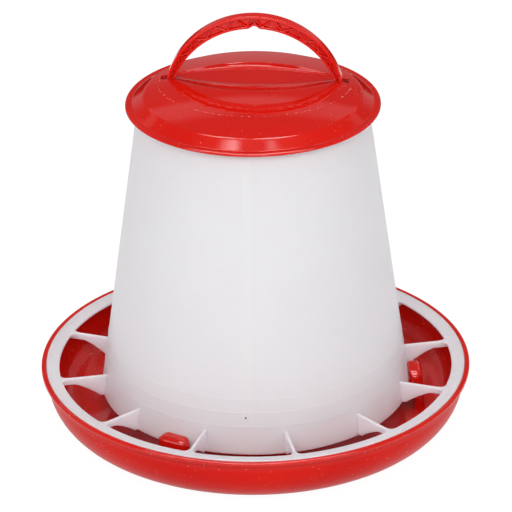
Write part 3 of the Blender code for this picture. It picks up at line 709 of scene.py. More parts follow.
@dataclass
class Hopper:
    """The milky tube with its skirt, webs, ring and lugs."""

    top_z: float = field(default_factory=lambda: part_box("hopper")[1].z)
    foot_z: float = field(default_factory=lambda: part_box("hopper")[0].z)
    ring_out_r: float = field(default_factory=lambda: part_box("hopper")[1].x)
    top_r: float = 71.55 * MM
    foot_r: float = 98.93 * MM
    wall: float = 2.0 * MM
    rim_z: float = 35.0 * MM
    crease_z: float = 39.0 * MM
    bead_z: tuple[float, ...] = (56.8 * MM, 48.1 * MM)
    bead_out: float = 0.21 * MM
    bays: int = 12
    web_t: float = 2.0 * MM
    ring_in_r: float = 126.0 * MM
    ring_t: float = 1.5 * MM
    ring_edge_t: float = 1.8 * MM
    ring_drop: float = 0.45 * MM
    ring_rise: float = 1.2 * MM
    bay_fillet: float = 4.0 * MM
    web_end_r: float = 131.2 * MM
    web_end_h: float = 4.4 * MM
    arch_r: float = 118.0 * MM
    arch_foot: float = 2.4 * MM
    arch_lift: float = 0.8 * MM
    arch_power: float = 1.35

    def outer_r(self, z: float | np.ndarray) -> float | np.ndarray:
        """Outer radius of the tube at a height."""
        return self.top_r + (self.foot_r - self.top_r) * (self.top_z - z) / (self.top_z - self.foot_z)

    def tube_section(self) -> np.ndarray:
        """Closed section of the tube, with its fine rings and its crease.

        The wall follows outer_r. At each fine ring the outside steps out by bead_out over 0.3 mm and
        runs back over the next 0.9 mm.

        Returns:
            Rows of (radius, height).
        """
        corners = [(self.outer_r(self.top_z), self.top_z, 0.5 * MM)]
        for z in (*self.bead_z, self.crease_z):
            corners.append((self.outer_r(z), z, 0.0))
            corners.append((self.outer_r(z - 0.3 * MM) + self.bead_out, z - 0.3 * MM, 0.0))
            corners.append((self.outer_r(z - 1.2 * MM), z - 1.2 * MM, 0.0))
        corners.append((self.outer_r(self.foot_z), self.foot_z, 0.6 * MM))
        corners.append((self.outer_r(self.foot_z) - self.wall, self.foot_z, 0.6 * MM))
        corners.append((self.outer_r(self.top_z) - self.wall, self.top_z, 0.5 * MM))
        path = rounded_path(corners, closed=True, steps=5)
        return subdivided(np.concatenate([path, path[:1]]), 8.0 * MM)[:-1]

    def grid_top(self, r: np.ndarray) -> np.ndarray:
        """Height of the grid's top.

        Level along the webs, then rising in a straight line from the ring's inner edge to its outer
        edge. The solids' webs rise to the crease instead.

        Args:
            r: Distances from the axis.

        Returns:
            Heights of the same shape.
        """
        low = self.rim_z - self.ring_drop
        ring = low + (self.ring_drop + self.ring_rise) * (r - self.ring_in_r) / (self.ring_out_r - self.ring_in_r)
        return np.maximum(ring, low)

    def ring_inner_r(self, from_web: np.ndarray) -> np.ndarray:
        """Radius of the ring's inner edge at an angle from the nearest web.

        Away from the web it is the ring's own radius. Near it the edge follows a fillet circle that
        touches the ring's edge and the web's side, met by the ray at that angle.

        Args:
            from_web: Angles from the nearest web, in radians.

        Returns:
            Radii of the same shape.
        """
        lean = self.web_t / 2.0 + self.bay_fillet
        reach = self.ring_in_r - self.bay_fillet
        centre = math.sqrt(reach**2 - lean**2)
        along = centre * np.cos(from_web) + lean * np.sin(from_web)
        under = np.maximum(along**2 - reach**2 + self.bay_fillet**2, 0.0)
        near = along + np.sqrt(under)
        touch = math.atan2(lean, centre)
        start = math.atan2(self.web_t / 2.0, centre)
        hidden = centre - 0.4 * MM
        return np.where(from_web >= touch, self.ring_in_r, np.where(from_web > start, near, hidden))

    def ring(self) -> Surface:
        """The ring, a thin plate whose inner edge bends in at each web.

        At each angle a closed section runs over the top from the outer radius to ring_inner_r, down the
        rounded inner edge and back along the underside, which thickens over 2.5 mm before the ledge.

        Returns:
            The closed surface of the ring.
        """
        half = math.pi / self.bays
        touch = 2.4 / 180.0 * math.pi
        start = math.asin(self.web_t / 2.0 / self.ring_in_r)
        close = start + (touch - start) * (1.0 - np.cos(np.linspace(0.0, math.pi / 2.0, 9)))
        away = np.concatenate([[0.0, start * 0.98], close, np.linspace(touch, half, 9)[1:]])
        bay = np.concatenate([away, (2.0 * half - away[::-1])[1:-1]])
        turns = (np.arange(self.bays)[:, None] * 2.0 * half + bay[None, :]).ravel() + half
        nearest = np.minimum(np.tile(bay, self.bays), 2.0 * half - np.tile(bay, self.bays))
        inner = self.ring_inner_r(nearest)
        edge, out = 0.5 * MM, self.ring_out_r
        share = np.linspace(0.0, 1.0, 8)
        top_r = inner[None, :] + edge + (out - 0.4 * MM - inner[None, :] - edge) * share[:, None]
        top_z = self.grid_top(top_r) - 0.02 * MM
        bend = np.linspace(0.0, math.pi / 2.0, 4)[1:-1, None]
        under_in = self.grid_top(inner) - self.ring_t
        under_out = self.grid_top(np.array([out])) - self.ring_edge_t
        round_top_r = inner + edge - edge * np.sin(bend)
        round_top_z = self.grid_top(inner + edge) - 0.02 * MM - edge + edge * np.cos(bend)
        rows_r = [top_r[::-1], round_top_r, (inner + 0.0 * bend[:1])]
        rows_z = [top_z[::-1], round_top_z, self.grid_top(inner + edge) - edge + 0.0 * bend[:1]]
        rows_r += [inner + 0.0 * bend[:1], inner + 0.3 * MM + 0.0 * bend[:1]]
        rows_z += [under_in + 0.3 * MM + 0.0 * bend[:1], under_in + 0.0 * bend[:1]]
        seat_in = self.web_end_r + 0.3 * MM
        mid = 0.0 * inner[None, :]
        rows_r += [mid + seat_in - 2.5 * MM, mid + seat_in, mid + out - 0.3 * MM, mid + out, mid + out]
        rows_z += [mid + under_in, mid + under_out, mid + under_out, mid + under_out + 0.3 * MM]
        rows_z += [mid + float(self.grid_top(np.array([out]))[0]) - 0.4 * MM]
        r = np.concatenate(rows_r, axis=0)
        z = np.concatenate(rows_z, axis=0)
        points = np.stack([r * np.cos(turns), r * np.sin(turns), z], axis=-1)
        made = Surface()
        made.add_grid(points, wrap_rows=True, wrap_cols=True)
        return made

    def arch_z(self, r: np.ndarray) -> np.ndarray:
        """Underside of a web: level near the ring, then a bend down to the skirt's foot.

        The bend falls by the whole drop times s to the power arch_power, where s runs from 0 at the
        level stretch to 1 at arch_foot outside the skirt.

        Args:
            r: Distances from the axis.

        Returns:
            Heights of the same shape.
        """
        level = self.rim_z - self.ring_drop - self.web_end_h
        foot = self.foot_r + self.arch_foot
        drop = level - self.foot_z - self.arch_lift
        share = np.clip((self.arch_r - r) / (self.arch_r - foot), 0.0, 1.0)
        last = np.clip((foot - r) / self.arch_foot, 0.0, 1.0)
        return level - drop * share**self.arch_power - last * 0.3 * MM

    def web(self, angle: float) -> Surface:
        """One web: a rounded upright section carried from the tube's wall to the ring.

        The section is a rounded rectangle between the arch and the straight top. Its inner end leans
        with the tube's wall, by a share that fades out over the first part of the way.

        Args:
            angle: Place round the axis, in radians.

        Returns:
            The closed surface of one web.
        """
        half, edge = self.web_t / 2.0, 0.55 * MM
        start = self.outer_r(self.rim_z) - 0.4 * MM
        stations = np.unique(np.concatenate([
            np.linspace(start, self.foot_r + self.arch_foot, 8),
            np.linspace(self.foot_r + self.arch_foot, self.arch_r, 16),
            np.linspace(self.arch_r, self.web_end_r, 6),
        ]))
        top = self.grid_top(stations)
        top = np.where(stations > self.ring_in_r, top - 0.6 * MM, top)
        low = self.arch_z(stations)
        bend = np.linspace(0.0, math.pi / 2.0, 5)
        corner_t = half - edge + edge * np.sin(bend)
        corner_z = edge - edge * np.cos(bend)
        side = np.concatenate([corner_t, corner_t[::-1], -corner_t, -corner_t[::-1]])
        from_top = np.concatenate([corner_z, np.full(10, np.nan), corner_z[::-1]])
        from_low = np.concatenate([np.full(5, np.nan), corner_z[::-1], corner_z, np.full(5, np.nan)])
        z_top = top[:, None] - from_top[None, :]
        z_low = low[:, None] + from_low[None, :]
        z = np.where(np.isnan(z_top), z_low, z_top)
        lean = self.outer_r(z) - self.wall / 2.0 - start
        fade = np.clip(1.0 - (stations - start) / (8.0 * MM), 0.0, 1.0)[:, None] ** 2
        r = stations[:, None] + lean * fade
        points = np.stack([r, side[None, :] + 0.0 * r, z], axis=-1)
        made = Surface()
        made.add_loft(turned_about_z(points, angle))
        return made

    def lug(self, tray: Tray, angle: float) -> Surface:
        """One lug, a small shelf on the skirt under a hook's bar.

        A wedge-shaped section, level on top, carried straight across.

        Args:
            tray: The tray with the hooks.
            angle: Place round the axis, in degrees from the x axis.

        Returns:
            The closed surface of one lug.
        """
        top = tray.rim_z - tray.hook_drop - tray.hook_bar - GAP
        out = tray.hook_out_r - tray.hook_post - GAP
        corners = [
            (self.outer_r(top) - self.wall / 2.0, top, 0.0),
            (out, top, 0.4 * MM),
            (out, top - 1.2 * MM, 0.4 * MM),
            (self.outer_r(top - 3.0 * MM) - self.wall / 2.0, top - 3.0 * MM, 0.0),
        ]
        ring = rounded_path(corners, closed=True, steps=4)
        across = np.linspace(-7.0 * MM, 7.0 * MM, 6)
        points = np.stack([
            ring[None, :, 0] + 0.0 * across[:, None],
            across[:, None] + 0.0 * ring[None, :, 0],
            ring[None, :, 1] + 0.0 * across[:, None],
        ], axis=-1)
        made = Surface()
        made.add_loft(turned_about_z(points, math.radians(angle)))
        return made

    def build(self, tray: Tray) -> bpy.types.Object:
        """Build the tube and join its grid and lugs to it.

        Args:
            tray: The tray with the hooks.

        Returns:
            The hopper.
        """
        body = Surface()
        body.add_grid(revolve(self.tube_section(), full_turn(288)), wrap_rows=True, wrap_cols=True)
        tube = body.build("hopper_moulding")
        parts = [self.ring().build("grid_ring")]
        for i in range(self.bays):
            parts.append(self.web((i + 0.5) * math.tau / self.bays).build(f"web_{i}"))
        parts += [self.lug(tray, a).build(f"lug_{i}") for i, a in enumerate(tray.hook_angles)]
        apply_boolean(tube, parts, "UNION")
        smooth(tube)
        return tube


@dataclass
class Lid:
    """The red cap with its flange, crown, finger recess, slots and collar."""

    flange_r: float = field(default_factory=lambda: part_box("lid")[1].x)
    collar_z: float = field(default_factory=lambda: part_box("lid")[0].z)
    rim_r: float = field(default_factory=lambda: Hopper().top_r)
    flange_z: float = 214.2 * MM
    flange_t: float = 1.9 * MM
    top_z: float = 227.0 * MM
    neck_out: float = 3.8 * MM
    ridge_r: float = 67.85 * MM
    ridge_z: float = 221.2 * MM
    ridge_round: float = 5.5 * MM
    wall: float = 2.0 * MM
    seat_z: float = 216.3 * MM
    collar_t: float = 1.6 * MM
    handle_y: float = 20.0 * MM
    floor_z: float = 222.5 * MM
    far_y: float = 40.5 * MM
    far_half: tuple[float, float] = (53.0 * MM, 23.7 * MM)
    near_y: float = 10.5 * MM
    near_half: tuple[float, float] = (50.0 * MM, 20.0 * MM)
    ramp: float = math.radians(12.8)
    fillet: float = 1.2 * MM
    far_lean: float = math.radians(68.0)
    columns: int = 180

    def crown(self, r: np.ndarray) -> np.ndarray:
        """Height of the crown, a shallow sphere through the top and the ridge.

        Args:
            r: Distances from the axis.

        Returns:
            Heights of the same shape.
        """
        rise = self.top_z - self.ridge_z
        radius = (self.ridge_r**2 + rise**2) / (2.0 * rise)
        return self.top_z - radius + np.sqrt(radius**2 - r**2)

    def plan_arc(self, middle_y: float, end: tuple[float, float]) -> tuple[float, float]:
        """Centre and radius of an arc in plan through its middle and both ends.

        Args:
            middle_y: The arc's middle.
            end: Its right end, as (x, y).

        Returns:
            The centre's y and the radius.
        """
        sag = middle_y - end[1]
        radius = (end[0] ** 2 + sag**2) / (2.0 * sag)
        return middle_y - radius, abs(radius)

    def height(self, x: np.ndarray, y: np.ndarray) -> np.ndarray:
        """Height of the lid's outside in plan.

        Inside the recess it is the largest of the level floor, the ramp that rises to the front from an
        arc, and the far wall. That wall starts with a fillet, floor + R - sqrt(R^2 - u^2), and goes on
        straight at far_lean. The recess never stands above the crown, and each change is rounded.

        Args:
            x, y: Places in plan, of one shape.

        Returns:
            Heights of the same shape.
        """
        crown = self.crown(np.hypot(x, y))
        centre, radius = self.plan_arc(self.far_y, self.far_half)
        bent = self.fillet * math.sin(self.far_lean)
        bent_z = self.fillet * (1.0 - math.cos(self.far_lean))
        deep = float(self.crown(np.array(self.far_y))) - self.floor_z
        run = bent + (deep - bent_z) / math.tan(self.far_lean)
        u = np.maximum(np.hypot(x, y - centre) - radius + run, 0.0)
        curved = self.fillet - np.sqrt(self.fillet**2 - np.minimum(u, bent) ** 2)
        wall = self.floor_z + curved + np.maximum(u - bent, 0.0) * math.tan(self.far_lean)
        centre, radius = self.plan_arc(self.near_y, self.near_half)
        ramp = self.floor_z + (np.hypot(x, y - centre) - radius) * math.tan(self.ramp)
        inside = smooth_max(wall, ramp, 0.5 * MM)
        return smooth_min(crown, inside, 0.14 * MM)

    def crown_grid(self, reach: float, drop: float) -> np.ndarray:
        """Grid of the crown inside a radius, its lines bunched along the recess's edges.

        Columns run across at x = -reach cos(pi i / n). On each column the rows pass through five
        stretches between the near rim, the ramp's top, its foot, the far wall's foot, the far wall's
        top and the far rim, and stand closer together at the ends of each stretch.

        Args:
            reach: Radius of the grid.
            drop: How far it lies under the outside.

        Returns:
            Points of shape (rows, columns, 3).
        """
        turn = np.linspace(0.0, math.pi, self.columns + 1)
        x = -reach * np.cos(turn)
        half = reach * np.sin(turn)
        centre, radius = self.plan_arc(self.far_y, self.far_half)
        far = centre + np.sqrt(radius**2 - x**2)
        centre, radius = self.plan_arc(self.near_y, self.near_half)
        near = centre - np.sqrt(radius**2 - x**2)
        ramp_top = near
        for _ in range(4):
            deep = np.maximum(self.crown(np.hypot(x, ramp_top)) - self.floor_z, 0.0)
            ramp_top = near - deep / math.tan(self.ramp)
        far = np.maximum(far, near + 0.4 * MM)
        stops = np.stack([-half, ramp_top, near, far - 2.5 * MM, far + 0.2 * MM, half])
        for k in range(1, 6):
            stops[k] = np.maximum(stops[k], stops[k - 1] + 0.3 * MM)
        order = np.arange(6)[:, None]
        spare = 0.05 * half
        stops = np.clip(stops, -half + order * spare, half - (5 - order) * spare)
        counts = (24, 18, 16, 22, 14)
        rows = []
        for k, count in enumerate(counts):
            share = 0.5 - 0.5 * np.cos(np.linspace(0.0, math.pi, count + 1)[:-1, None])
            rows.append(stops[k] + (stops[k + 1] - stops[k]) * share)
        y = np.concatenate(rows + [stops[5][None, :]])
        xs = np.broadcast_to(x, y.shape)
        z = self.height(xs, y) - drop
        edge = np.hypot(xs, y) > reach * 0.9999
        z = np.where(edge, self.crown(np.full_like(z, reach)) - drop, z)
        return np.stack([xs, y, z], axis=-1)

    def side_section(self, reach: float, inner_reach: float) -> np.ndarray:
        """Section from the crown's rim over the ridge, round the flange, through the groove and up.

        Straight runs between corners, each corner rounded by an arc of its own radius.

        Args:
            reach: Radius of the outer crown's grid.
            inner_reach: Radius of the inner one.

        Returns:
            Rows of (radius, height).
        """
        flange_top = self.flange_z + self.flange_t
        groove_out = self.rim_r + GAP
        mouth = groove_out + 0.25 * MM
        collar_out = self.rim_r - self.wall - GAP
        collar_in = collar_out - self.collar_t
        shoulder = collar_in - 1.2 * MM
        corners = [
            (reach, float(self.crown(np.array(reach))), 0.0),
            (self.ridge_r, self.ridge_z, self.ridge_round),
            (self.rim_r + self.neck_out, flange_top, 1.5 * MM),
            (self.flange_r, flange_top, 1.3 * MM),
            (self.flange_r, self.flange_z, 0.4 * MM),
            (mouth + 0.5 * MM, self.flange_z, 0.2 * MM),
            (mouth, self.flange_z + 0.5 * MM, 0.2 * MM),
            (groove_out, self.seat_z, 0.3 * MM),
            (collar_out, self.seat_z, 0.3 * MM),
            (collar_out, self.collar_z + 0.5 * MM, 0.3 * MM),
            (collar_out - 0.5 * MM, self.collar_z, 0.2 * MM),
            (collar_in, self.collar_z, 0.3 * MM),
            (collar_in, self.ridge_z - 1.25 * self.wall, 0.6 * MM),
            (shoulder, float(self.crown(np.array(shoulder))) - self.wall, 1.0 * MM),
            (inner_reach, float(self.crown(np.array(inner_reach))) - self.wall, 0.0),
        ]
        return subdivided(rounded_path(corners, steps=10), 1.6 * MM)

    def slot(self, side: float) -> bpy.types.Object:
        """A block that cuts one slot.

        A rectangle in plan with rounded corners, carried straight up.

        Args:
            side: 1 for the right side, -1 for the left.

        Returns:
            The block.
        """
        near, far, half = 51.6 * MM, 59.0 * MM, 3.7 * MM
        corners = [(near, -half, 0.5 * MM), (far, -half, 1.6 * MM), (far, half, 1.6 * MM), (near, half, 0.5 * MM)]
        ring = rounded_path(corners, closed=True, steps=6)
        heights = np.array([self.floor_z - 8.0 * MM, self.top_z + 2.0 * MM])
        x = side * ring[None, :, 0] + 0.0 * heights[:, None]
        y = self.handle_y + ring[None, :, 1] + 0.0 * heights[:, None]
        z = heights[:, None] + 0.0 * x
        made = Surface()
        made.add_loft(np.stack([x, y, z], axis=-1))
        return made.build("slot_right" if side > 0.0 else "slot_left")

    def build(self) -> bpy.types.Object:
        """Build the lid's shell and cut its slots.

        Returns:
            The lid.
        """
        reach, inner_reach = 64.8 * MM, 64.0 * MM
        angles = full_turn(2 * self.columns)
        shell = Surface()
        shell.add_grid(self.crown_grid(reach, 0.0))
        shell.add_grid(self.crown_grid(inner_reach, self.wall))
        shell.add_grid(revolve(self.side_section(reach, inner_reach), angles), wrap_cols=True)
        lid = shell.build("lid_moulding")
        apply_boolean(lid, [self.slot(1.0), self.slot(-1.0)], "DIFFERENCE")
        smooth(lid)
        return lid


@dataclass
class Handle:
    """The arched carrying handle of I section with its zigzag ribs and legs."""

    foot_out: float = field(default_factory=lambda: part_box("handle")[1].x)
    apex_z: float = field(default_factory=lambda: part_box("handle")[1].z)
    floor_z: float = 222.5 * MM
    plane_y: float = 20.0 * MM
    foot_in: float = 50.0 * MM
    inner_rise: float = 34.65 * MM
    width: float = 6.8 * MM
    outer_t: float = 1.9 * MM
    inner_t: float = 1.4 * MM
    web_t: float = 2.0 * MM
    rib_t: float = 1.0 * MM
    rib_w: float = 5.9 * MM
    notch_rise: float = 1.9 * MM
    notch_half: float = 3.7 * MM
    rib_nodes: tuple[float, ...] = (0.0, 4.9, 13.0, 18.3, 28.8, 33.1, 44.6, 46.9, 59.6, 59.2)

    def arch_over(self, half: float, rise: float) -> tuple[float, float]:
        """Centre height and radius of an arch over the feet, from half its span and its rise."""
        radius = (half**2 + rise**2) / (2.0 * rise)
        return self.floor_z + GAP + rise - radius, radius

    def outer_arch(self) -> tuple[float, float]:
        """The outer edge."""
        return self.arch_over(self.foot_out, self.apex_z - self.floor_z - GAP)

    def inner_arch(self) -> tuple[float, float]:
        """The underside."""
        return self.arch_over(self.foot_in, self.inner_rise)

    def edges(self, share: np.ndarray) -> tuple[np.ndarray, np.ndarray]:
        """Points on the outer and inner edge for shares from -1 at the left foot to 1 at the right.

        Each edge is an arc, and the inner one rises in the middle by notch_rise times cos(pi s / 2)
        squared, where s is the distance from the middle over the notch's half width.

        Args:
            share: Shares along the arch.

        Returns:
            Rows of (x, z) on the outer and on the inner edge.
        """
        base = self.floor_z + GAP
        out = []
        for centre, radius in (self.outer_arch(), self.inner_arch()):
            end = math.acos((base - centre) / radius)
            out.append(np.stack([radius * np.sin(end * share), centre + radius * np.cos(end * share)], axis=-1))
        outer, inner = out
        span = np.clip(np.abs(inner[:, 0]) / (self.notch_half * 1.15), 0.0, 1.0)
        inner[:, 1] += self.notch_rise * np.cos(0.5 * math.pi * span) ** 2
        return outer, inner

    def body(self) -> Surface:
        """The I section carried along the arch.

        Its height is the distance between the two edges. Its upper half keeps its distance from the
        outer edge and its lower half from the inner one.

        Returns:
            The closed surface of the arch.
        """
        share = np.concatenate([
            np.linspace(-1.0, -0.12, 70), np.linspace(-0.115, 0.115, 41), np.linspace(0.12, 1.0, 70),
        ])
        outer, inner = self.edges(share)
        across = outer - inner
        height = np.linalg.norm(across, axis=1)
        across /= height[:, None]
        half, web = self.width / 2.0, self.web_t / 2.0
        upper = rounded_path([
            (0.0, 0.0, 0.0), (half, 0.0, 0.45 * MM), (half, -self.outer_t, 0.3 * MM),
            (web, -self.outer_t - 0.1 * MM, 0.5 * MM), (web, -self.outer_t - 0.9 * MM, 0.0),
        ], steps=4)
        lower = rounded_path([
            (web, self.inner_t + 0.8 * MM, 0.0), (web, self.inner_t + 0.1 * MM, 0.45 * MM),
            (half, self.inner_t, 0.3 * MM), (half, 0.0, 0.4 * MM), (0.0, 0.0, 0.0),
        ], steps=4)
        y_right = np.concatenate([upper[:, 0], lower[:, 0]])
        y = np.concatenate([y_right, -y_right[::-1][1:-1]])
        from_outer = np.concatenate([upper[:, 1], np.full(len(lower), np.nan)])
        from_inner = np.concatenate([np.full(len(upper), np.nan), lower[:, 1]])
        from_outer = np.concatenate([from_outer, from_outer[::-1][1:-1]])
        from_inner = np.concatenate([from_inner, from_inner[::-1][1:-1]])
        level = np.where(np.isnan(from_inner)[None, :], height[:, None] + from_outer[None, :], from_inner[None, :])
        x = inner[:, :1] + across[:, :1] * level
        z = inner[:, 1:] + across[:, 1:] * level
        points = np.stack([x, self.plane_y + y[None, :] + 0.0 * x, z], axis=-1)
        made = Surface()
        made.add_loft(points)
        return made

    def node_point(self, index: int) -> np.ndarray:
        """One end of a rib: even ends lie on the outer flange, odd ones on the inner.

        Args:
            index: Number of the end, from the middle.

        Returns:
            The place as (x, z), on the right.
        """
        angle = math.radians(self.rib_nodes[index])
        if index % 2 == 0:
            centre, radius = self.outer_arch()
            radius -= self.outer_t * 0.6
        else:
            centre, radius = self.inner_arch()
            radius += self.inner_t * 0.6 + (self.notch_rise * 0.2 if index == 1 else 0.0)
        return np.array([radius * math.sin(angle), centre + radius * math.cos(angle)])

    def rib(self, index: int, side: float) -> Surface:
        """One straight rib with a softly crowned edge on both faces of the web.

        A rounded rectangle carried from one end to the next.

        Args:
            index: Number of its first end.
            side: 1 for the right side, -1 for the left.

        Returns:
            The closed surface of one rib.
        """
        first, last = self.node_point(index), self.node_point(index + 1)
        along = (last - first) / np.linalg.norm(last - first)
        across = np.array([-along[1], along[0]])
        half_t, half_w, edge = self.rib_t / 2.0, self.rib_w / 2.0, 0.42 * MM
        ring = rounded_path([
            (half_t, -half_w, edge), (half_t, half_w, edge), (-half_t, half_w, edge), (-half_t, -half_w, edge),
        ], closed=True, steps=4)
        ends = np.stack([first, last])
        x = side * (ends[:, :1] + across[0] * ring[None, :, 0])
        z = ends[:, 1:] + across[1] * ring[None, :, 0]
        points = np.stack([x, self.plane_y + ring[None, :, 1] + 0.0 * x, z], axis=-1)
        made = Surface()
        made.add_loft(points)
        return made

    def tongue(self, side: float) -> Surface:
        """The snap-in end of a leg under the lid.

        An outline with its barb, carried straight through the depth of the handle.

        Args:
            side: 1 for the right side, -1 for the left.

        Returns:
            The closed surface of one tongue.
        """
        out, inner = self.foot_out - 0.2 * MM, self.foot_out - 3.1 * MM
        grip = self.floor_z - 2.3 * MM
        corners = [
            (out, self.floor_z + 0.9 * MM, 0.0), (out, grip - 4.0 * MM, 0.8 * MM), (inner, grip - 4.0 * MM, 0.3 * MM),
            (inner - 1.4 * MM, grip - 0.8 * MM, 0.3 * MM), (inner - 1.4 * MM, grip, 0.2 * MM),
            (inner, grip, 0.0), (inner, self.floor_z + 0.9 * MM, 0.0),
        ]
        ring = rounded_path(corners, closed=True, steps=4)
        depth = np.array([-1.0, 1.0]) * (self.width / 2.0 - 0.1 * MM)
        x = side * ring[None, :, 0] + 0.0 * depth[:, None]
        points = np.stack([x, self.plane_y + depth[:, None] + 0.0 * x, ring[None, :, 1] + 0.0 * x], axis=-1)
        made = Surface()
        made.add_loft(points)
        return made

    def build(self) -> bpy.types.Object:
        """Build the arch and join its ribs and tongues to it.

        Returns:
            The handle.
        """
        arch = self.body().build("handle_moulding")
        parts = []
        for side in (1.0, -1.0):
            mark = "right" if side > 0.0 else "left"
            parts.append(self.tongue(side).build(f"tongue_{mark}"))
            for i in range(len(self.rib_nodes) - 1):
                parts.append(self.rib(i, side).build(f"rib_{mark}_{i}"))
        apply_boolean(arch, parts, "UNION")
        smooth(arch)
        return arch


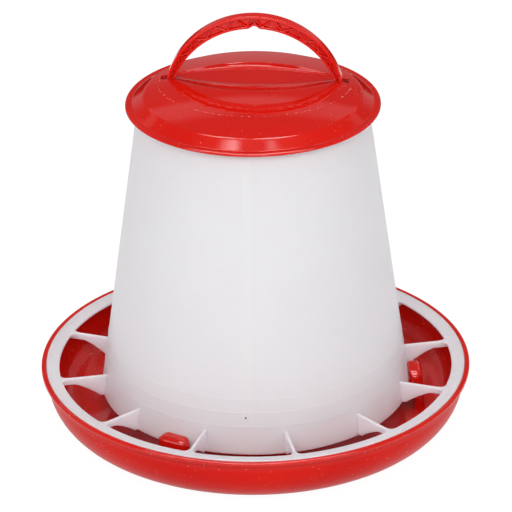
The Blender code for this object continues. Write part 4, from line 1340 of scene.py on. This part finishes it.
@dataclass
class Studio:
    """The camera, the pale floor, the soft lights and the hood that the gloss reflects."""

    distance: float = 2.200
    elevation: float = math.radians(26.29)
    azimuth: float = math.radians(4.0)
    roll: float = math.radians(-0.55)
    target_z: float = 108.9 * MM
    focal_px: float = 3470.8
    frame_px: float = 512.0
    sensor_mm: float = 36.0
    shift_px: float = 1.55
    floor_glow: float = 0.95
    floor_share: float = 0.10
    hood_r: float = 3.0
    panel_glow: float = 8.0
    hood_grey: tuple[tuple[float, float], ...] = (
        (0.0, 0.01), (5.5, 0.03), (9.0, 0.40), (17.0, 0.30), (24.0, 0.14), (31.5, 0.11),
        (33.5, 0.42), (37.5, 0.40), (40.0, 0.14), (60.0, 0.14), (90.0, 0.6),
    )
    panel_low: tuple[float, float] = (58.0, 62.0)
    panel_high: tuple[float, float] = (80.0, 84.0)
    panel_y: tuple[float, float] = (-0.25, -0.05)
    floor_half: float = 1.5
    floor_back: float = 0.9
    world_light: float = 0.60
    world_seen: float = 1.0
    lamps: tuple[tuple[str, tuple[float, float, float], tuple[float, float], float], ...] = (
        ("back_left", (-0.31, 0.57, 1.68), (0.40, 0.35), 2.6),
        ("back_right", (0.17, 0.46, 1.74), (0.40, 0.35), 3.6),
        ("front", (0.05, -1.60, 1.25), (1.0, 0.4), 11.6),
        ("left", (-1.2, -1.1, 0.9), (0.6, 0.9), 5.0),
        ("right", (1.2, -1.1, 0.9), (0.6, 0.9), 5.0),
    )

    def camera(self) -> None:
        """Stand the camera where the picture was taken from."""
        data = bpy.data.cameras.new("camera")
        data.sensor_width = self.sensor_mm
        data.lens = self.focal_px * self.sensor_mm / self.frame_px
        data.shift_x = self.shift_px / self.frame_px
        data.clip_start, data.clip_end = 0.05, 50.0
        item = bpy.data.objects.new("camera", data)
        bpy.context.scene.collection.objects.link(item)
        flat = math.cos(self.elevation)
        back = Vector((math.sin(self.azimuth) * flat, -math.cos(self.azimuth) * flat, math.sin(self.elevation)))
        item.location = Vector((0.0, 0.0, self.target_z)) + back * self.distance
        look = (-back).to_track_quat("-Z", "Y").to_matrix().to_4x4()
        item.matrix_world = Matrix.Translation(item.location) @ look @ Matrix.Rotation(self.roll, 4, "Z")
        bpy.context.scene.camera = item

    def seen(self, tree: bpy.types.NodeTree) -> bpy.types.NodeSocket:
        """Share that is 1 for rays from the eye, from gloss and from clear stuff, else 0.

        Args:
            tree: The material's node tree.

        Returns:
            A socket that gives the share.
        """
        path = add_node(tree, "ShaderNodeLightPath")
        both = add_node(tree, "ShaderNodeMath", {"operation": "MAXIMUM"}, in0=path.outputs["Is Camera Ray"],
                        in1=path.outputs["Is Glossy Ray"])
        return add_node(tree, "ShaderNodeMath", {"operation": "MAXIMUM"}, in0=both.outputs[0],
                        in1=path.outputs["Is Transmission Ray"]).outputs[0]

    def floor(self) -> None:
        """A wide pale floor that looks white to the eye and keeps a soft shadow.

        To the eye it glows at glow and adds the light that falls on it times a small share. Other
        rays meet a plain pale card.
        """
        mesh = bpy.data.meshes.new("floor")
        half, back = self.floor_half, self.floor_back
        corners = [(-half, -half, 0), (half, -half, 0), (half, back, 0), (-half, back, 0)]
        mesh.from_pydata(corners, [], [(0, 1, 2, 3)])
        item = bpy.data.objects.new("floor", mesh)
        bpy.context.scene.collection.objects.link(item)
        made = bpy.data.materials.new("pale_floor")
        made.use_nodes = True
        tree = made.node_tree
        tree.nodes.clear()
        glow = add_node(tree, "ShaderNodeEmission", Color=(1, 1, 1, 1), Strength=self.floor_glow)
        keep = add_node(tree, "ShaderNodeBsdfDiffuse", Color=(self.floor_share,) * 3 + (1,))
        card = add_node(tree, "ShaderNodeBsdfDiffuse", Color=linear("#E8E8E8"))
        white = add_node(tree, "ShaderNodeAddShader", in0=glow.outputs[0], in1=keep.outputs[0])
        mix = add_node(tree, "ShaderNodeMixShader", in0=self.seen(tree), in1=card.outputs[0], in2=white.outputs[0])
        add_node(tree, "ShaderNodeOutputMaterial", Surface=mix.outputs[0])
        item.data.materials.append(made)

    def hood(self) -> None:
        """A grey hood bent over the set, met only by reflections, that gives the gloss its shades.

        Its glow depends on the height angle: dark at the horizon, a soft band over it, grey above. A
        pale panel hangs in it over the front, from panel_low to panel_high degrees up. It hides the
        white surround from the gloss, so only the floor is reflected white.
        """
        turn = np.linspace(-0.42, 0.5 * math.pi, 31)
        path = np.stack([self.hood_r * np.cos(turn), self.hood_r * np.sin(turn)], axis=1)
        made = Surface()
        made.add_grid(revolve(path, full_turn(96)), wrap_cols=True)
        item = made.build("grey_hood")
        grey = bpy.data.materials.new("grey_card")
        grey.use_nodes = True
        tree = grey.node_tree
        tree.nodes.clear()
        place = add_node(tree, "ShaderNodeTexCoord").outputs["Object"]
        height = add_node(tree, "ShaderNodeSeparateXYZ", Vector=place).outputs[2]
        sine = add_node(tree, "ShaderNodeMath", {"operation": "DIVIDE"}, in0=height, in1=self.hood_r)
        angle = add_node(tree, "ShaderNodeMath", {"operation": "ARCSINE"}, in0=sine)
        share = add_node(tree, "ShaderNodeMath", {"operation": "DIVIDE"}, in0=angle, in1=0.5 * math.pi)
        ramp = add_node(tree, "ShaderNodeValToRGB", in0=share)
        stops = ramp.color_ramp.elements
        while len(stops) < len(self.hood_grey):
            stops.new(0.5)
        for stop, (angle, level) in zip(stops, self.hood_grey):
            stop.position = angle / 90.0
            stop.color = (level, level, level, 1.0)
        depth = add_node(tree, "ShaderNodeSeparateXYZ", Vector=place).outputs[1]
        front = add_node(tree, "ShaderNodeMapRange", SMOOTH, in0=depth, in1=self.panel_y[0], in2=self.panel_y[1],
                         in3=self.panel_glow, in4=0.0)
        above = add_node(tree, "ShaderNodeMapRange", SMOOTH, in0=share, in1=self.panel_low[0] / 90.0,
                         in2=self.panel_low[1] / 90.0)
        below = add_node(tree, "ShaderNodeMapRange", SMOOTH, in0=share, in1=self.panel_high[0] / 90.0,
                         in2=self.panel_high[1] / 90.0, in3=1.0, in4=0.0)
        window = add_node(tree, "ShaderNodeMath", {"operation": "MULTIPLY"}, in0=above, in1=below)
        panel = add_node(tree, "ShaderNodeMath", {"operation": "MULTIPLY"}, in0=window, in1=front)
        level = add_node(tree, "ShaderNodeMath", {"operation": "ADD"}, in0=ramp.outputs[0], in1=panel)
        glow = add_node(tree, "ShaderNodeEmission", Color=(1, 1, 1, 1), Strength=level)
        add_node(tree, "ShaderNodeOutputMaterial", Surface=glow.outputs[0])
        item.data.materials.append(grey)
        item.visible_camera = item.visible_diffuse = item.visible_shadow = item.visible_transmission = False

    def world(self) -> None:
        """A white surround for the eye and for reflections, and a softer one for the light."""
        world = bpy.data.worlds.new("surround")
        bpy.context.scene.world = world
        world.use_nodes = True
        tree = world.node_tree
        tree.nodes.clear()
        soft = add_node(tree, "ShaderNodeBackground", Color=(1, 1, 1, 1), Strength=self.world_light)
        white = add_node(tree, "ShaderNodeBackground", Color=(1, 1, 1, 1), Strength=self.world_seen)
        mix = add_node(tree, "ShaderNodeMixShader", in0=self.seen(tree), in1=soft.outputs[0], in2=white.outputs[0])
        add_node(tree, "ShaderNodeOutputWorld", Surface=mix.outputs[0])

    def softbox(self, name: str, place: tuple[float, float, float], size: tuple[float, float], power: float) -> None:
        """An area light that faces the middle of the feeder.

        Args:
            name: The lamp's name.
            place: Its middle.
            size: Its two sides.
            power: Its power in watts.
        """
        data = bpy.data.lights.new(name, "AREA")
        data.shape = "RECTANGLE"
        data.size, data.size_y = size
        data.energy = power
        item = bpy.data.objects.new(name, data)
        bpy.context.scene.collection.objects.link(item)
        item.location = place
        aim = Vector((0.0, 0.0, self.target_z)) - Vector(place)
        item.rotation_euler = aim.to_track_quat("-Z", "Y").to_euler()

    def build(self) -> None:
        """Set up the view, the floor and the lights."""
        self.camera()
        self.floor()
        self.hood()
        self.world()
        for lamp in self.lamps:
            self.softbox(*lamp)
        bpy.context.scene.view_settings.view_transform = "Standard"


def finish_piece(item: bpy.types.Object, node: str, material: bpy.types.Material) -> None:
    """Give a piece its finish and let it stand for its solid.

    Args:
        item: The piece.
        node: The solid that it stands for.
        material: Its finish.
    """
    item.data.materials.clear()
    item.data.materials.append(material)
    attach(item, "root")
    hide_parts(node)
    log.info("%s stands for %s with %d faces", item.name, node, len(item.data.polygons))


def main() -> None:
    """Build the studio and the four mouldings."""
    logging.basicConfig(level=logging.INFO)
    Studio().build()
    tray, hopper = Tray(), Hopper()
    finish_piece(tray.build(hopper), "tray", RED_TRAY.material())
    finish_piece(hopper.build(tray), "hopper", MILKY_PP.material())
    finish_piece(Lid().build(), "lid", RED_LID.material())
    finish_piece(Handle().build(), "handle", RED_HANDLE.material())


if __name__ == "__main__":
    main()
